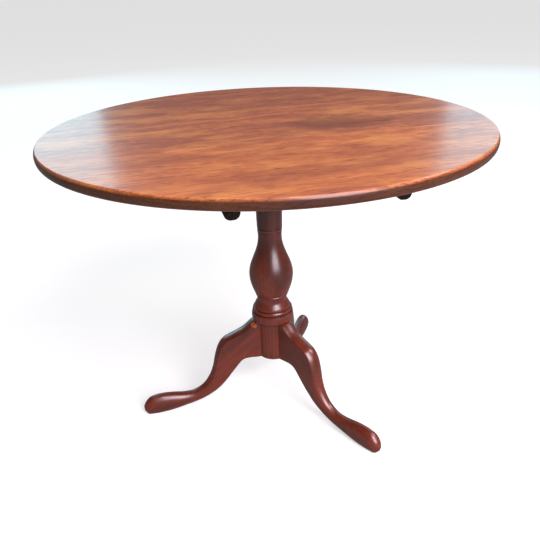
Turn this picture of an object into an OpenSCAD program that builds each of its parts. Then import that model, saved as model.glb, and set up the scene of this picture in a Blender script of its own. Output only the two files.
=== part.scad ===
// Round tilt-top table. Edge-glued boards on two battens hinge on a block, the
// block is tenoned on a turned column, and three legs are dovetailed into its foot.
// Origin on the floor under the column, X along the grain and the hinge, Z up.

/* [Top] */
// Height of the show face above the floor
table_h = 710.5; // [590:0.5:860]
// Diameter of the round top
top_d = 960; // [860:5:1160]
// Thickness of the top boards
top_t = 21.6; // [20:0.2:27]
// Width of the rounding along the rim
rim_round = 5; // [2:0.5:9]
// Width of the middle board
mid_board_w = 315; // [240:5:390]
// Distance of the middle board's centre behind the column
mid_board_y = 22; // [-40:1:40]

/* [Battens] */
// Distance between the battens' centre lines
batten_spacing = 298; // [246:1:360]
// Width of a batten
batten_w = 28; // [24:0.5:36]
// Depth of a batten below the boards
batten_d = 40; // [38:0.5:50]
// Length of a batten
batten_l = 764; // [630:2:790]
// Radius along a batten's lower edges
batten_round = 12; // [3:0.5:12]
// Distances of a batten's screws behind the column
batten_screw_y = [-337, -205, 45, 205, 290];
// Height of a batten screw's head above the batten's lower face
batten_screw_sunk = 16; // [8:0.5:18]

/* [Pivot block] */
// Length of the block across the hinge
block_y = 190; // [158:1:230]
// Thickness of the block
block_t = 38; // [31:0.5:46]
// Diameter of a pivot pin
pin_d = 16; // [10:0.5:19]
// Depth of a pivot pin in the block
pin_depth = 40; // [24:1:60]

/* [Column] */
// Radius of the foot of the column, where the legs seat
core_r = 41; // [36:0.5:48]
// Radius of the collar above the legs
collar_r = 50.6; // [49:0.1:58]
// Height of the collar's plain band
band_h = 19.5; // [14:0.5:22]
// Radius at the waist above the collar
waist_r = 36.2; // [30:0.1:42]
// Height of the waist above the collar's underside
waist_z = 56; // [52:1:60]
// Radius of the baluster at its widest
bulb_r = 53.1; // [46:0.1:63]
// Height of the widest place above the collar's underside
bulb_z = 122; // [110:1:144]
// Radius of the throat above the baluster
throat_r = 28; // [24:0.1:33]
// Height of the throat above the collar's underside
throat_z = 222; // [190:1:230]
// Radius of the shaft just above its scored ring
shaft_r = 29.7; // [26:0.1:35]
// Height of the shaft's start above the collar's underside
shaft_z = 244; // [240:1:270]
// Radius of the shaft under the block
shoulder_r = 33; // [28:0.5:40]
// Diameter of the tenon through the block
tenon_d = 44; // [34:1:52]

/* [Legs] */
// Reach of a leg from the column's axis to the toe
leg_reach = 343; // [290:1:410]
// Height of the legs' upper edge at the column
leg_rise = 229; // [195:1:275]
// Height of a leg's root where it seats on the column
root_h = 105; // [90:1:125]
// Thickness of a leg at its root
leg_t = 35; // [30:0.5:42]
// Rise of the crowned upper face above its edges
crown = 4.5; // [3:0.5:8]
// Width of the dovetail at the column's face
tail_neck = 13; // [10:0.5:15]
// Width of the dovetail at its inner end
tail_end = 19; // [16:0.5:22]
// Depth of the dovetail
tail_depth = 13; // [10:0.5:15]
// Diameter of the wood pellet over the left leg's screw
pellet_d = 14.5; // [10:0.5:15]

/* [Brace plate] */
// Thickness of the iron brace plate
brace_t = 3; // [2:0.25:4]
// Width of the plate's arms
brace_arm_w = 16; // [12:0.5:20]
// Reach of the plate's arms
brace_reach = 62; // [58:1:66]

/* [Catch] */
// Diameter of the bolt
bolt_d = 8; // [6:0.25:9]
// Distance of the bolt's axis below the boards
bolt_drop = 11; // [10:0.25:13]
// Gap from the drawn bolt's nose to the block
bolt_gap = 3; // [2.5:0.25:5]
// Travel of the bolt
bolt_travel = 12; // [10:0.5:14]
// Width of the catch's back plate
catch_w = 34; // [30:0.5:41]
// Length of the catch's back plate
catch_l = 62; // [60:0.5:75]
// Thickness of the catch's back plate
catch_t = 2; // [1.5:0.25:2.5]
// Thickness of a guide post
post_t = 8; // [6:0.5:10]
// Width of the keeper plate
keeper_w = 44; // [38:0.5:53]
// Height of the keeper plate
keeper_h = 18; // [14:0.5:20]
// Thickness of the keeper plate
keeper_t = 1.6; // [1.2:0.2:2.5]

/* [Clearances] */
// Gap between the boards and the block, and beside the block
rest_gap = 0.3; // [0.2:0.05:0.5]
// Gap at each side of the block
side_gap = 0.5; // [0.4:0.1:1]
// Radial gap of a pin that turns or a bolt that slides
running_gap = 0.06; // [0.02:0.01:0.1]
// Gap round pieces that are glued or screwed in place
fixed_gap = 0.05; // [0.02:0.01:0.1]

/* [Hidden] */
$fn = 64;

// Planes and axes that several pieces share
under_z = table_h - top_t;
block_top = under_z - rest_gap;
block_low = block_top - block_t;
pivot_r = block_t / 2;
pivot_y = -block_y / 2 + pivot_r;
pivot_z = block_top - pivot_r;
batten_x = batten_spacing / 2;
block_x = batten_spacing - batten_w - 2 * side_gap;
tenon_top = block_top - 0.5;
collar_z = leg_rise;
foot_z = leg_rise - root_h;
seat_x = sqrt(pow(core_r, 2) - pow(leg_t / 2, 2));
tail_top = collar_z - 12;
bolt_z = under_z - bolt_drop;
block_end = block_y / 2;
nose_y = block_end + bolt_gap;
catch_y = block_end + 4;
post_inset = 2;
post_y = [catch_y + post_inset, catch_y + catch_l - post_inset - post_t];
knob_y = post_y[1] - 4.5;
bolt_end = post_y[1] + post_t + bolt_travel + 2;
pocket_r = bolt_d / 2 + 0.6;
leg_angles = [180, -60, 60];

// Screws: head diameter, shank diameter, length
batten_screw = [9, 4.5, 36];
leg_screw_size = [9, 5, 46];
brace_screw = [8, 4, 22];
catch_screw = [6.4, 3.2, 15];
keeper_screw = [6, 3, 14];

wood_dark = "saddlebrown";
wood_top = "chocolate";

// ---- Curves for turned and shaped outlines ----

// Half-cosine run between two radii, level at both ends
function swell(z0, r0, z1, r1, n, warp = 1) = [
    for (i = [0:n]) [r0 + (r1 - r0) * (1 - cos(180 * pow(i / n, warp))) / 2, z0 + (z1 - z0) * i / n]
];

// Quarter-cosine run that is level at its first end
function dome(z0, r0, z1, r1, n) = [
    for (i = [0:n]) [r1 + (r0 - r1) * cos(90 * i / n), z0 + (z1 - z0) * i / n]
];

// Half-round moulding on a cylinder: a bead where h is positive, a groove where it is negative
function bead(z0, z1, r, h, n) = [
    for (i = [0:n]) [r + h * sin(180 * i / n), z0 + (z1 - z0) * i / n]
];

// One place on the smooth curve through four keys
function curve_at(a, b, c, d, t) =
    (2 * b + (c - a) * t + (2 * a - 5 * b + 4 * c - d) * pow(t, 2) + (3 * b - a - 3 * c + d) * pow(t, 3)) / 2;

// Smooth curve through a list of keys, n steps to each span
function smooth(keys, n) = [
    for (i = [0:len(keys) - 2], j = [0:n - 1])
        curve_at(keys[max(i - 1, 0)], keys[i], keys[i + 1], keys[min(i + 2, len(keys) - 1)], j / n),
    keys[len(keys) - 1]
];

// ---- Shared shapes ----

// Screw driven along +Z with its head's face at the origin; gap widens it into its own hole
module screw_body(size, gap = 0) {
    head_r = size[0] / 2 + gap;
    shank_r = size[1] / 2 + gap;
    head_l = size[0] / 3;
    tip = size[2] + gap;
    rotate_extrude()
        polygon([[0, 0], [head_r, 0], [shank_r, head_l], [shank_r, tip - 5], [shank_r / 4, tip], [0, tip]]);
}

module screw(size) {
    slot_w = size[0] / 8;
    difference() {
        screw_body(size);
        translate([-slot_w / 2, -size[0], -1])
            cube([slot_w, 2 * size[0], 1 + size[0] / 7]);
    }
}

// Whatever is drawn once at +X is repeated on both sides
module both_sides() {
    for (side = [-1, 1])
        translate([side * batten_x, 0, 0])
            children();
}

module at_batten_screws() {
    both_sides()
        for (y = batten_screw_y)
            translate([0, y, under_z - batten_d + batten_screw_sunk])
                children();
}

module at_catch_screws() {
    for (x = [-1, 1], y = [0.25, 0.75])
        translate([x * (catch_w / 2 - 4), catch_y + y * catch_l, under_z - catch_t])
            children();
}

module at_keeper_screws() {
    for (x = [-1, 1])
        translate([x * (keeper_w / 2 - 6), block_end, bolt_z])
            rotate([90, 0, 0])
                children();
}

// ---- Top ----

rim_steps = 10;
half_t = top_t / 2;
rim_curve = [
    for (i = [0:rim_steps]) let (a = -90 + 180 * i / rim_steps)
        [top_d / 2 - rim_round + rim_round * cos(a), under_z + half_t + half_t * sin(a)]
];

module top_disc() {
    rotate_extrude($fn = 128)
        polygon(concat([[0, under_z]], rim_curve, [[0, table_h]]));
}

// Board between two lines across the grain, with its screw holes
module board(y0, y1) {
    color(wood_top)
        difference() {
            intersection() {
                top_disc();
                translate([-top_d, y0, under_z - 1])
                    cube([2 * top_d, y1 - y0, top_t + 2]);
            }
            at_batten_screws()
                screw_body(batten_screw, fixed_gap);
            at_catch_screws()
                screw_body(catch_screw, fixed_gap);
        }
}

seam_front = mid_board_y - mid_board_w / 2;
seam_back = mid_board_y + mid_board_w / 2;

module top_board_front() { board(-top_d, seam_front); }
module top_board_middle() { board(seam_front, seam_back); }
module top_board_back() { board(seam_back, top_d); }

module batten_section() {
    flat = batten_w / 2 - batten_round;
    translate([-batten_w / 2, -batten_d + batten_round])
        square([batten_w, batten_d - batten_round]);
    translate([-flat, -batten_d])
        square([2 * flat, 2 * batten_round]);
    for (side = [-1, 1])
        translate([side * flat, -batten_d + batten_round])
            circle(r = batten_round);
}

module batten(side) {
    sunk_r = batten_screw[0] / 2 + 0.5;
    color(wood_dark)
        difference() {
            translate([side * batten_x, 0, under_z])
                rotate([90, 0, 0])
                    linear_extrude(height = batten_l, center = true)
                        batten_section();
            at_batten_screws()
                screw_body(batten_screw, fixed_gap);
            at_batten_screws()
                translate([0, 0, -batten_screw_sunk - 1])
                    cylinder(r = sunk_r, h = batten_screw_sunk + 1);
            translate([side * batten_x, pivot_y, pivot_z])
                rotate([0, 90, 0])
                    cylinder(r = pin_d / 2 + running_gap, h = batten_w + 2, center = true);
        }
}

module batten_left() { batten(-1); }
module batten_right() { batten(1); }

module batten_screws() {
    color("dimgray")
        at_batten_screws()
            screw(batten_screw);
}

// ---- Pivot block ----

module block_section() {
    translate([pivot_y, block_low])
        square([block_end - pivot_y, block_t]);
    translate([pivot_y, pivot_z])
        circle(r = pivot_r);
}

module pivot_block() {
    color(wood_dark)
        difference() {
            rotate([90, 0, 90])
                linear_extrude(height = block_x, center = true)
                    block_section();
            translate([0, 0, block_low - 1])
                cylinder(d = tenon_d + 2 * fixed_gap, h = block_t + 2);
            for (side = [-1, 1])
                translate([side * block_x / 2, pivot_y, pivot_z])
                    rotate([0, 90, 0])
                        cylinder(d = pin_d + 2 * fixed_gap, h = 2 * (pin_depth + fixed_gap), center = true);
            translate([-keeper_w / 2 - fixed_gap, block_end - keeper_t - fixed_gap, bolt_z - keeper_h / 2 - fixed_gap])
                cube([keeper_w + 2 * fixed_gap, keeper_t + 1, keeper_h + 2 * fixed_gap]);
            translate([0, block_end + 1, bolt_z])
                rotate([90, 0, 0])
                    cylinder(r = pocket_r, h = bolt_travel - bolt_gap + 6);
            at_keeper_screws()
                screw_body(keeper_screw, fixed_gap);
        }
}

module pivot_pin(side) {
    length = pin_depth + side_gap + batten_w - 1;
    start = side > 0 ? block_x / 2 - pin_depth : -block_x / 2 + pin_depth - length;
    color("tan")
        translate([start, pivot_y, pivot_z])
            rotate([0, 90, 0])
                cylinder(d = pin_d, h = length);
}

module pivot_pin_left() { pivot_pin(-1); }
module pivot_pin_right() { pivot_pin(1); }

// ---- Column ----

// Depth to which the legs' seats are cut up into the collar
collar_housing = 0.5;
score = 1.2;
foot_ease = 2.5;
ovolo_r = collar_r - 5.9;
ovolo_z = collar_z + band_h + 13.5;
bulb_low_z = collar_z + waist_z + 15;
bulb_low_r = waist_r + 4.2;

column_outline = concat(
    [[0, foot_z], [core_r - foot_ease, foot_z], [core_r, foot_z + foot_ease], [core_r, collar_z]],
    bead(collar_z, collar_z + band_h, collar_r, 1.3, 6),
    bead(collar_z + band_h, collar_z + band_h + 2, collar_r - 0.6, -0.9, 4),
    bead(collar_z + band_h + 2, ovolo_z - 1.5, collar_r - 3.4, 2, 6),
    [[ovolo_r - 1.2, ovolo_z - 0.8]],
    swell(ovolo_z, ovolo_r, collar_z + waist_z, waist_r, 10),
    [[waist_r + 0.6, collar_z + waist_z + 7]],
    bead(collar_z + waist_z + 9.5, bulb_low_z - 1, bulb_low_r - 1.6, 1, 4),
    [[bulb_low_r - 1.4, bulb_low_z - 0.4]],
    [for (i = [0:13]) let (s = 1 - i / 13)
        [waist_r + 0.8 + (bulb_r - waist_r - 0.8) * cos(77 * s),
            bulb_low_z + (collar_z + bulb_z - bulb_low_z) * (1 - s)]],
    [for (i = [1:22]) let (s = 1 - i / 22)
        [throat_r + (bulb_r - throat_r) * (1 - cos(180 * pow(s, 1.08))) / 2,
            collar_z + throat_z - (throat_z - bulb_z) * s]],
    bead(collar_z + shaft_z - 12, collar_z + shaft_z - 10.5, throat_r + 0.7, -score / 2, 4),
    [[throat_r + 1.2, collar_z + shaft_z - 9.5], [shaft_r - 0.5, collar_z + shaft_z - 3]],
    bead(collar_z + shaft_z - 2.8, collar_z + shaft_z, shaft_r, -score, 4),
    [[shoulder_r, block_low], [tenon_d / 2, block_low], [tenon_d / 2, tenon_top], [0, tenon_top]]
);

wedge_l = 30;
module wedge_shape(extra = 0) {
    top_w = 3 / 2 + extra;
    tip_w = 0.9 / 2 + extra;
    intersection() {
        translate([0, 0, tenon_top])
            rotate([90, 0, 0])
                linear_extrude(height = tenon_d + 2, center = true)
                    polygon([[-top_w, extra], [top_w, extra], [tip_w, -wedge_l - extra], [-tip_w, -wedge_l - extra]]);
        translate([0, 0, block_low])
            cylinder(d = tenon_d + 2 * extra, h = block_t);
    }
}

module tenon_wedge() {
    color("tan")
        wedge_shape();
}

// Dovetail along a leg's root; gap widens it into the column's socket
module tail(gap = 0) {
    neck = tail_neck / 2 + gap;
    end = tail_end / 2 + gap;
    translate([0, 0, foot_z - gap])
        linear_extrude(height = tail_top - foot_z + 2 * gap)
            polygon([
                [seat_x + 1, -neck], [seat_x, -neck], [seat_x - tail_depth - gap, -end],
                [seat_x - tail_depth - gap, end], [seat_x, neck], [seat_x + 1, neck]
            ]);
}

module column() {
    color(wood_dark)
        difference() {
            rotate_extrude($fn = 128)
                polygon(column_outline);
            for (a = leg_angles)
                rotate([0, 0, a]) {
                    translate([seat_x, -leg_t / 2 - 1, foot_z - 1])
                        cube([core_r, leg_t + 2, root_h + 1 + collar_housing]);
                    tail(fixed_gap);
                }
            wedge_shape(fixed_gap);
            at_leg_screw()
                screw_body(leg_screw_size, fixed_gap);
            for (a = leg_angles)
                rotate([0, 0, a + 60])
                    at_brace_screw(brace_hub_screw_r)
                        screw_body(brace_screw, fixed_gap);
        }
}

// ---- Legs ----

// A leg is drawn along +X. Each key is a rib from the lower edge to the upper one:
// [upper reach, upper height, lower reach, lower height, half width, roundness],
// where roundness runs from 0, flat sides under a crown, to 1, an ellipse.
drawn_reach = 343;
drawn_rise = 229;
kr = leg_reach / drawn_reach;
kz = leg_rise / drawn_rise;
kw = leg_t / 35;
root_keys = [
    [seat_x, collar_z - 0.2, seat_x, foot_z, leg_t / 2, 0],
    [seat_x + 13, collar_z - 0.6, seat_x + 12, foot_z, leg_t / 2, 0]
];
run_keys = [
    [77, 208.4, 64, 125.5, 17.5, 0],
    [109, 194.4, 77, 125, 17.5, 0],
    [129.6, 185, 86, 120.5, 17.5, 0.05],
    [143.7, 167.6, 94, 111.5, 17.5, 0.1],
    [153, 142, 109, 90.5, 17.5, 0.25],
    [161, 109, 123, 71, 17.3, 0.5],
    [173, 80, 146, 45.5, 16.8, 0.8],
    [191, 57, 176, 26, 16, 1],
    [215, 44.5, 209, 13.5, 15.6, 1],
    [240, 43.5, 239, 6.5, 16, 1],
    [270, 48.5, 270, -0.5, 17.3, 1],
    [300, 50.5, 300, -4, 18, 1],
    [324, 46.5, 322, -4, 17.3, 1],
    [338, 35, 335, -2.5, 13.8, 1],
    [344, 25, 343, 6, 7, 1]
];
leg_keys = concat(root_keys, [for (k = run_keys) [k[0] * kr, k[1] * kz, k[2] * kr, k[3] * kz, k[4] * kw, k[5]]]);
rib_span = 2;
ring_q = 5;
ring_n = 4 * ring_q;

// Quarter of the flat-sided section: half width and height at step j from the side's middle
function flat_v(j) = j <= 2 ? 1 : (ring_q - j) / 3;
function flat_w(j, c) = j <= 2 ? j / 2 * (1 - c) : 1 - c * pow(flat_v(j), 2);

// One point of a rib's ring, as reach, side and height
function ring_point(k, i) =
    let (
        half = [k[0] - k[2], k[1] - k[3]] / 2,
        mid = [k[0] + k[2], k[1] + k[3]] / 2,
        j = i <= ring_q ? i : i <= 2 * ring_q ? 2 * ring_q - i : i <= 3 * ring_q ? i - 2 * ring_q : ring_n - i,
        upper = i <= 2 * ring_q ? 1 : -1,
        near = (i <= ring_q || i > 3 * ring_q) ? 1 : -1,
        c = (upper > 0 ? crown : 2) / norm(half),
        a = 90 * j / ring_q,
        v = near * (flat_v(j) * (1 - k[5]) + cos(a) * k[5]),
        w = upper * (flat_w(j, c) * (1 - k[5]) + sin(a) * k[5])
    )
    [mid[0] + half[0] * w, k[4] * v, mid[1] + half[1] * w];

module leg_body() {
    ribs = smooth(leg_keys, rib_span);
    last = len(ribs) - 1;
    rings = [for (k = ribs, i = [0:ring_n - 1]) ring_point(k, i)];
    hubs = [for (k = [ribs[0], ribs[last]]) [(k[0] + k[2]) / 2, 0, (k[1] + k[3]) / 2]];
    root_hub = len(rings);
    sides = [
        for (r = [0:last - 1], i = [0:ring_n - 1], half = [0, 1])
            let (a = r * ring_n + i, b = r * ring_n + (i + 1) % ring_n)
            half == 0 ? [a, b + ring_n, b] : [a, a + ring_n, b + ring_n]
    ];
    root_end = [for (i = [0:ring_n - 1]) [root_hub, i, (i + 1) % ring_n]];
    toe_end = [for (i = [0:ring_n - 1]) [root_hub + 1, last * ring_n + (i + 1) % ring_n, last * ring_n + i]];
    difference() {
        polyhedron(concat(rings, hubs), concat(sides, root_end, toe_end), convexity = 4);
        translate([0, -leg_t, -20])
            cube([2 * leg_reach, 2 * leg_t, 20]);
    }
}

module leg(a) {
    color(wood_dark)
        difference() {
            rotate([0, 0, a])
                difference() {
                    union() {
                        leg_body();
                        tail();
                    }
                    at_brace_screw(brace_leg_screw_r)
                        screw_body(brace_screw, fixed_gap);
                }
            if (a == 180)
                at_leg_screw() {
                    screw_body(leg_screw_size, fixed_gap);
                    translate([0, 0, -pellet_l * 3])
                        cylinder(d = pellet_d + 2 * fixed_gap, h = pellet_l * 3);
                }
        }
}

module leg_left() { leg(leg_angles[0]); }
module leg_front_right() { leg(leg_angles[1]); }
module leg_back_right() { leg(leg_angles[2]); }

// The left leg's screw enters beside the collar and runs inwards and down
pellet_l = 8;
pellet_at = [-seat_x - 15.6, 4.2 - leg_t / 2, collar_z - 9];
pellet_lean = [27, -38, 0];
module at_leg_screw() {
    translate(pellet_at)
        rotate(pellet_lean)
            rotate([180, 0, 0])
                translate([0, 0, pellet_l])
                    children();
}

module leg_pellet() {
    color("peru")
        at_leg_screw()
            translate([0, 0, -pellet_l])
                cylinder(d = pellet_d, h = pellet_l);
}

module leg_screw() {
    color("dimgray")
        at_leg_screw()
            screw(leg_screw_size);
}

// ---- Brace plate under the column ----

brace_hub_r = 30;
brace_hub_screw_r = 21;
brace_leg_screw_r = brace_reach - 8;

module at_brace_screw(r) {
    translate([r, 0, foot_z - brace_t])
        children();
}

module brace_plate() {
    color("dimgray")
        difference() {
            union() {
                translate([0, 0, foot_z - brace_t])
                    cylinder(r = brace_hub_r, h = brace_t);
                for (a = leg_angles)
                    rotate([0, 0, a])
                        translate([0, -brace_arm_w / 2, foot_z - brace_t]) {
                            cube([brace_reach - brace_arm_w / 2, brace_arm_w, brace_t]);
                            translate([brace_reach - brace_arm_w / 2, brace_arm_w / 2, 0])
                                cylinder(d = brace_arm_w, h = brace_t);
                        }
            }
            at_brace_screws()
                screw_body(brace_screw, fixed_gap);
        }
}

module at_brace_screws() {
    for (a = leg_angles) {
        rotate([0, 0, a])
            at_brace_screw(brace_leg_screw_r)
                children();
        rotate([0, 0, a + 60])
            at_brace_screw(brace_hub_screw_r)
                children();
    }
}

module brace_screws() {
    color("gray")
        at_brace_screws()
            screw(brace_screw);
}

// ---- Catch ----

module catch_plate() {
    color("goldenrod")
        difference() {
            union() {
                translate([-catch_w / 2, catch_y, under_z - catch_t])
                    cube([catch_w, catch_l, catch_t]);
                for (y = post_y)
                    translate([-bolt_d / 2 - 5, y, bolt_z - bolt_d / 2 - 4])
                        cube([bolt_d + 10, post_t, under_z - catch_t - bolt_z + bolt_d / 2 + 4]);
            }
            translate([0, catch_y + catch_l + 1, bolt_z])
                rotate([90, 0, 0])
                    cylinder(r = bolt_d / 2 + running_gap, h = catch_l + 2);
            at_catch_screws()
                screw_body(catch_screw, fixed_gap);
        }
}

knob_stud_r = 2;
module catch_bolt() {
    color("darkgoldenrod")
        difference() {
            translate([0, bolt_end, bolt_z])
                rotate([90, 0, 0])
                    cylinder(d = bolt_d, h = bolt_end - nose_y);
            translate([0, nose_y, bolt_z + bolt_d / 8])
                rotate([-45, 0, 0])
                    translate([-bolt_d, -bolt_d * 2, -bolt_d * 2])
                        cube([2 * bolt_d, bolt_d * 4, bolt_d * 2]);
            translate([0, knob_y, bolt_z - bolt_d])
                cylinder(r = knob_stud_r + fixed_gap, h = bolt_d + 2.2);
        }
}

module catch_knob() {
    neck_r = 3.5;
    ball_r = 7.5;
    top = bolt_d / 2 + fixed_gap;
    color("goldenrod")
        translate([0, knob_y, bolt_z]) {
            translate([0, 0, -top - 1])
                cylinder(r = knob_stud_r, h = top + 3);
            rotate_extrude()
                polygon(concat(
                    [[0, -top], [neck_r, -top], [neck_r - 0.8, -top - 3]],
                    [for (i = [0:12]) let (a = 65 - 155 * i / 12) [ball_r * cos(a), -top - 13 + ball_r * sin(a)]]
                ));
        }
}

leaf_t = 0.6;
leaf_w = 7;
leaf_half = 16;
module catch_leaf_spring() {
    room = bolt_drop - catch_t - bolt_d / 2;
    sag = room - 2 * fixed_gap - leaf_t - 0.3;
    r = (pow(leaf_half, 2) + pow(sag, 2)) / (2 * sag);
    mid = (post_y[0] + post_t + post_y[1]) / 2;
    low = bolt_z + bolt_d / 2 + 2 * fixed_gap;
    color("silver")
        intersection() {
            translate([0, mid, low + r])
                rotate([90, 0, 90])
                    linear_extrude(height = leaf_w, center = true)
                        difference() {
                            circle(r = r, $fn = 96);
                            circle(r = r - leaf_t, $fn = 96);
                        }
            translate([-leaf_w, mid - leaf_half, low - 1])
                cube([2 * leaf_w, 2 * leaf_half, room]);
        }
}

module catch_screws() {
    color("goldenrod")
        at_catch_screws()
            screw(catch_screw);
}

// ---- Keeper in the block's end ----

module keeper_plate() {
    color("goldenrod")
        difference() {
            translate([-keeper_w / 2, block_end - keeper_t, bolt_z - keeper_h / 2])
                cube([keeper_w, keeper_t, keeper_h]);
            translate([0, block_end + 1, bolt_z])
                rotate([90, 0, 0])
                    cylinder(r = pocket_r, h = keeper_t + 2);
            at_keeper_screws()
                screw_body(keeper_screw, fixed_gap);
        }
}

module keeper_screws() {
    color("goldenrod")
        at_keeper_screws()
            screw(keeper_screw);
}

top_board_front();
top_board_middle();
top_board_back();
batten_left();
batten_right();
batten_screws();
pivot_block();
pivot_pin_left();
pivot_pin_right();
column();
tenon_wedge();
leg_left();
leg_front_right();
leg_back_right();
leg_pellet();
leg_screw();
brace_plate();
brace_screws();
catch_plate();
catch_bolt();
catch_knob();
catch_leaf_spring();
catch_screws();
keeper_plate();
keeper_screws();
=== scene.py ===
"""Visual model of a round tilt-top table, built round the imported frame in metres.

The boards tilt on two pins in a block, the block is wedged on a turned column,
and three curved legs are dovetailed into the column's foot.
"""
import logging
import math
from collections.abc import Iterable, Sequence
from dataclasses import dataclass, replace
from enum import Enum
from typing import Any

import bmesh
import bpy
from mathutils import Matrix, Vector, noise


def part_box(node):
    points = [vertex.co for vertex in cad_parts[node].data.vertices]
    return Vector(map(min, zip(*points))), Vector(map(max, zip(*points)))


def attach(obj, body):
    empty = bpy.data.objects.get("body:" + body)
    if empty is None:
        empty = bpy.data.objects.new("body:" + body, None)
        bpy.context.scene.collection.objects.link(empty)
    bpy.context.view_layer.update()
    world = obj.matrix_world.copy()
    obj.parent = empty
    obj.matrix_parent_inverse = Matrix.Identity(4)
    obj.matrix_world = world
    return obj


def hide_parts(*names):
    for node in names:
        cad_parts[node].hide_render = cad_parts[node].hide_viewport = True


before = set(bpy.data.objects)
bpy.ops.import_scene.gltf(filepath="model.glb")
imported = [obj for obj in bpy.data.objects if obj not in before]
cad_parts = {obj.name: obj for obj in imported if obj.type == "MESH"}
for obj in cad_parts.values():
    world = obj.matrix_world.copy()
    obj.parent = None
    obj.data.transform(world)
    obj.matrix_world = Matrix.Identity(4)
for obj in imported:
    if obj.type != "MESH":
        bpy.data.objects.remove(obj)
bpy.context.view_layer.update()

logging.basicConfig(level=logging.INFO, format="%(message)s")
LOG = logging.getLogger("table")

MM = 0.001
Point = tuple[float, float, float]
Outline = list[tuple[float, float]]


class Slot(str, Enum):
    """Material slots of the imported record."""

    TOP = "top_mahogany"
    BASE = "base_mahogany"
    DARK = "dark_mahogany"
    MAPLE = "maple"
    PELLET = "pellet_wood"
    STEEL = "steel_screws"
    IRON = "forged_iron"
    BRASS = "catch_brass"
    BRASS_SCREWS = "brass_screws"
    SPRING = "spring_steel"


class Body(str, Enum):
    """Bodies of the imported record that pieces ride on."""

    BASE = "base"
    TOP = "top"
    BOLT = "catch_bolt"


class Leg(Enum):
    """The three legs, each by its CAD node and its turn about the column in degrees."""

    LEFT = ("leg_left", 180.0)
    FRONT_RIGHT = ("leg_front_right", -60.0)
    BACK_RIGHT = ("leg_back_right", 60.0)


# ---- Nodes, meshes and hand-over ----


def colour(code: str) -> tuple[float, float, float, float]:
    """Turns an sRGB hex value such as "8a4b2d" into a linear RGBA colour."""
    parts = [int(code[i : i + 2], 16) / 255 for i in (0, 2, 4)]
    return (*(c / 12.92 if c <= 0.04045 else ((c + 0.055) / 1.055) ** 2.4 for c in parts), 1.0)


def add_node(
    tree: bpy.types.NodeTree,
    kind: str,
    inputs: dict[str | int, Any] | None = None,
    stops: Sequence[tuple[float, Any]] = (),
    **settings: Any,
) -> bpy.types.Node:
    """Adds one node to a tree.

    Args:
        tree: Node tree of a material or of a Geometry Nodes group.
        kind: The node's type name.
        inputs: Values or sockets to link, by the input's name or index.
        stops: Positions and colours of a colour ramp's stops.
        **settings: The node's own properties.

    Returns:
        The new node.
    """
    node = tree.nodes.new(kind)
    for key, value in settings.items():
        setattr(node, key, value)
    for key, value in (inputs or {}).items():
        if isinstance(value, bpy.types.NodeSocket):
            tree.links.new(value, node.inputs[key])
        else:
            node.inputs[key].default_value = value
    if stops:
        ramp = node.color_ramp.elements
        while len(ramp) < len(stops):
            ramp.new(0.5)
        for element, (position, shade) in zip(ramp, stops):
            element.position = position
            element.color = colour(shade) if isinstance(shade, str) else (shade, shade, shade, 1.0)
    return node


def new_object(name: str, verts: Iterable[Sequence[float]], faces: Iterable[Sequence[int]]) -> bpy.types.Object:
    """Makes a closed mesh object at the origin, with doubles merged and faces turned outwards.

    Args:
        name: Name of the object.
        verts: Vertices in metres.
        faces: Vertex numbers of each face.

    Returns:
        The linked object.
    """
    mesh = bpy.data.meshes.new(name)
    mesh.from_pydata([tuple(v) for v in verts], [], [tuple(f) for f in faces])
    return link_mesh(name, mesh)


def link_mesh(name: str, mesh: bpy.types.Mesh) -> bpy.types.Object:
    """Welds a mesh, turns its faces outwards and links it as an object at the origin."""
    bm = bmesh.new()
    bm.from_mesh(mesh)
    bmesh.ops.remove_doubles(bm, verts=bm.verts, dist=2e-6)
    bmesh.ops.dissolve_degenerate(bm, edges=bm.edges, dist=1e-7)
    bmesh.ops.recalc_face_normals(bm, faces=bm.faces)
    bm.to_mesh(mesh)
    bm.free()
    piece = bpy.data.objects.new(name, mesh)
    bpy.context.scene.collection.objects.link(piece)
    return piece


def settle(piece: bpy.types.Object, name: str) -> bpy.types.Object:
    """Turns a piece with modifiers into a plain mesh object.

    Args:
        piece: Object whose modifiers are to be applied; it is removed.
        name: Name of the plain object.

    Returns:
        The plain object at the origin.
    """
    graph = bpy.context.evaluated_depsgraph_get()
    mesh = bpy.data.meshes.new_from_object(piece.evaluated_get(graph))
    old = piece.data
    bpy.data.objects.remove(piece)
    bpy.data.meshes.remove(old)
    mesh.name = name
    return link_mesh(name, mesh)


def combine(piece: bpy.types.Object, others: Iterable[bpy.types.Object], operation: str) -> bpy.types.Object:
    """Cuts other solids out of a piece, or joins them to it.

    Args:
        piece: The piece to work on.
        others: Closed solids, which are removed afterwards.
        operation: "DIFFERENCE" or "UNION".

    Returns:
        The finished plain object, with the piece's name.
    """
    name = piece.name
    others = list(others)
    for other in others:
        piece.modifiers.new(other.name, "BOOLEAN").object = other
        piece.modifiers[-1].operation = operation
        piece.modifiers[-1].solver = "EXACT"
    piece.name = name + "_rough"
    made = settle(piece, name)
    for other in others:
        bpy.data.objects.remove(other)
    return made


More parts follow.
